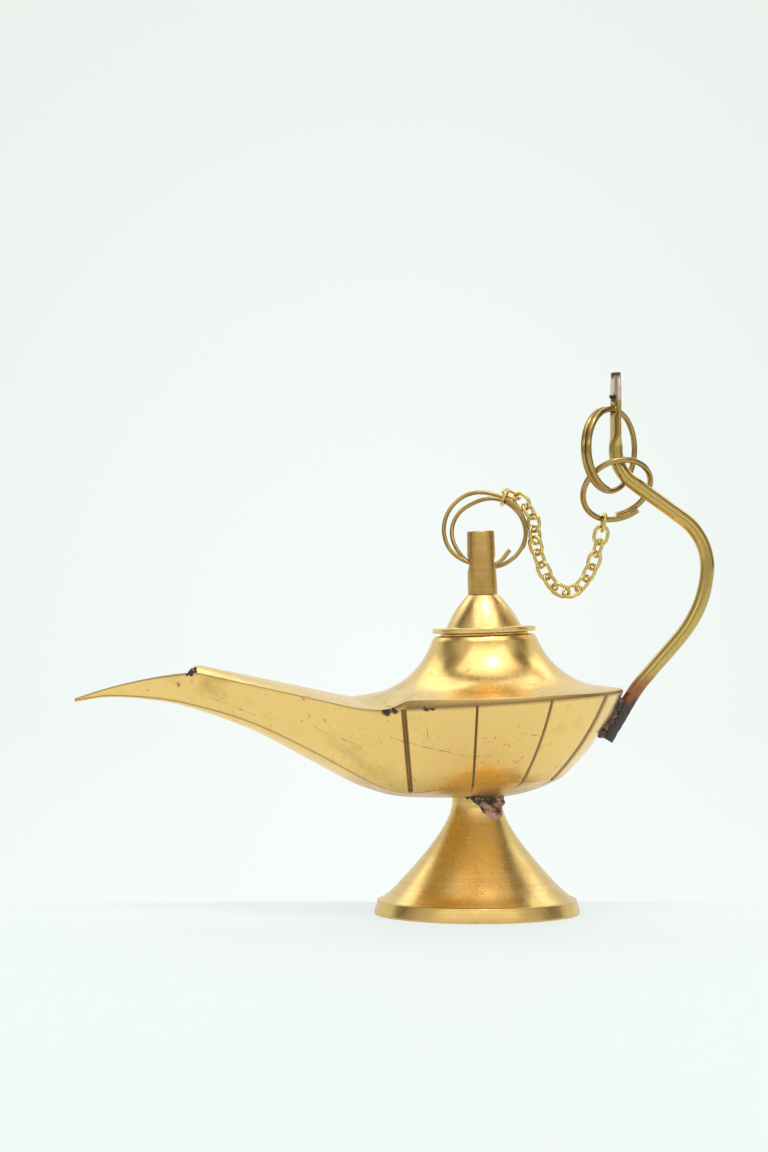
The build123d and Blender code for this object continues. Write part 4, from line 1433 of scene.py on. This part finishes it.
pieces = (
    (bowl, "base", "bowl_brass", "bowl"),
    (cover, "base", "cover_brass", "top_cover"),
    (foot, "base", "foot_brass", "foot"),
    (handle, "base", "rod_brass", "handle"),
    (foot_solder, "base", "solder", "foot_solder"),
    (spout_solder, "base", "solder", "spout_solder"),
    (handle_solder, "base", "scale", "handle_solder"),
    (lid, "lid", "lid_brass", "lid"),
    (stem, "lid", "stem_brass", "lid_stem"),
    (lid_ring, "lid_ring", "ring_wire", "lid_ring"),
    (hanging_ring, "hanging_ring", "ring_wire", "hanging_ring"),
    (chain_ring, "chain_ring", "ring_wire", "chain_ring"),
)
for piece, body, finish, cad_node in pieces:
    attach(piece, body)
    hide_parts(cad_node)

bodies = frame["record"]["behaviour"]["bodies"]
for body, names in bodies.items():
    links = [n for n in names if n.startswith("chain_link")]
    if links:
        piece = chain_piece(f"wire_{links[0]}", links)
        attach(piece, body)
        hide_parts(*links)


# Stage: a pale table, a floor and backdrop just behind it, soft lights and the camera
ground_squash = (1.3, 0.0, 1.0)


def shown(tree, share, lit, own, output):
    """Mixes a lit shader with one that shows its own colour, into an output node."""
    mix = node(tree, "ShaderNodeMixShader", share, lit.outputs[0], own.outputs[0])
    tree.links.new(mix.outputs[0], tree.nodes[output].inputs[0])


def lit_sheet(name, colour, glow, mirrored_glow):
    """A plain pale surface that takes light and shadow.

    glow is the share that it shows as its own colour, and mirrored_glow the same in reflections.
    """
    material, tree, shader = new_finish(name)
    dress(tree, shader, {"Base Color": colour, "Roughness": 0.6})
    shine = node(tree, "ShaderNodeEmission", Color=colour, Strength=1.0)
    path = node(tree, "ShaderNodeLightPath").outputs
    mirrored = maths(tree, "MULTIPLY", path["Is Glossy Ray"], mirrored_glow)
    share = maths(tree, "MULTIPLY_ADD", path["Is Camera Ray"], glow, mirrored)
    shown(tree, share, shader, shine, "Material Output")
    return material


def pale_ground(name, near, far, centre, reach):
    """A pale ground that shows its own colour, a painted pool of light fading from near to far round a
    point.
    """
    material, tree, shader = new_finish(name)
    feed(tree, shader.inputs["Base Color"], near)
    place = node(tree, "ShaderNodeTexCoord").outputs["Object"]
    offset = vectors(tree, "MULTIPLY", vectors(tree, "SUBTRACT", place, centre), ground_squash)
    length = vectors(tree, "LENGTH", offset)
    share = node(tree, "ShaderNodeMapRange", length, From_Min=0.0, From_Max=reach).outputs[0]
    shine = node(tree, "ShaderNodeEmission", Color=blend(tree, share, near, far), Strength=1.0)
    path = node(tree, "ShaderNodeLightPath").outputs
    seen = maths(tree, "MAXIMUM", path["Is Camera Ray"], path["Is Glossy Ray"])
    shown(tree, seen, shader, shine, "Material Output")
    return material


def panel(name, first, second, material):
    """A stage panel as wide as the floor, between two lines given by y and z in millimetres."""
    corners = [(-floor_far, *first), (floor_far, *first), (floor_far, *second), (-floor_far, *second)]
    mesh = bpy.data.meshes.new(name)
    mesh.from_pydata([tuple(c * MM for c in p) for p in corners], [], [(0, 1, 2, 3)])
    mesh.materials.append(material)
    placed(name, mesh)


def soft_light(name, place, target, size, power):
    """A soft box that faces a point; lengths are in millimetres and the power in watts."""
    data = bpy.data.lights.new(name, "AREA")
    data.shape = "RECTANGLE"
    data.size, data.size_y = size[0] * MM, size[1] * MM
    data.energy = power
    lamp = placed(name, data)
    lamp.location = Vector(place) * MM
    lamp.rotation_euler = (Vector(target) - Vector(place)).to_track_quat("-Z", "Y").to_euler()
    lamp.visible_camera = False


def room(dim, card, pale, front_edge=(0.05, -0.35)):
    """The room: a pale wall in front, dim at the sides, and pale where the camera sees past the stage."""
    world = bpy.data.worlds.new("room")
    bpy.context.scene.world = world
    world.use_nodes = True
    tree = world.node_tree
    way = node(tree, "ShaderNodeTexCoord").outputs["Generated"]
    split = node(tree, "ShaderNodeSeparateXYZ", way)
    front = fade(tree, split.outputs["Y"], *front_edge)
    shade = tree.nodes["Background"]
    feed(tree, shade.inputs[0], blend(tree, front, dim, card))
    shine = node(tree, "ShaderNodeBackground", Color=pale, Strength=1.0)
    path = node(tree, "ShaderNodeLightPath").outputs
    shown(tree, path["Is Camera Ray"], shade, shine, "World Output")


floor_far = 2500
floor_drop = -0.6
table_edge = 26.0
wall_back = 900
wall_top = 2200
# colours of the glowing ground: a painted pool of light, brighter near the middle and dimmer far off
mint_near = (0.94, 0.985, 0.965)
mint_far = (0.79, 0.85, 0.8)
mint = pale_ground("mint_ground", mint_near, mint_far, centre=(-0.02, 0, 0), reach=0.62)
table_white = lit_sheet("table_white", (0.88, 0.95, 0.955), glow=0.63, mirrored_glow=0.2)
panel("table", (-floor_far, 0), (table_edge, 0), table_white)
panel("floor", (-floor_far, floor_drop), (wall_back, floor_drop), mint)
panel("backdrop", (wall_back, floor_drop), (wall_back, wall_top), mint)
room(dim=(0.16, 0.15, 0.135), card=(0.64, 0.62, 0.58), pale=(0.86, 0.92, 0.9))

soft_light("overhead", (30, -230, 950), (0, 0, 50), (1050, 860), 3.6)
soft_light("window", (95, -260, 940), (0, 0, 50), (190, 150), 1.0)
soft_light("front_strip", (0, -1000, 470), (0, 0, 20), (2200, 200), 1.4)
soft_light("back_sky", (-20, 760, 900), (0, 0, 60), (2200, 760), 5.2)

photo_width, photo_height = 768, 1152
mm_per_pixel = 0.235
foot_pixel_x = 477
eye_distance = 750.0
eye_height = 79.2
camera_data = bpy.data.cameras.new("photo_camera")
camera_data.sensor_fit = "VERTICAL"
camera_data.sensor_height = 36.0
camera_data.lens = eye_distance / (mm_per_pixel * photo_height) * camera_data.sensor_height
camera_data.clip_start = 0.01
camera_data.clip_end = 20.0
camera = placed("photo_camera", camera_data)
camera.location = Vector(((photo_width / 2 - foot_pixel_x) * mm_per_pixel, -eye_distance, eye_height)) * MM
camera.rotation_euler = (radians(90), 0, 0)
bpy.context.scene.camera = camera
bpy.context.scene.view_settings.view_transform = "Standard"
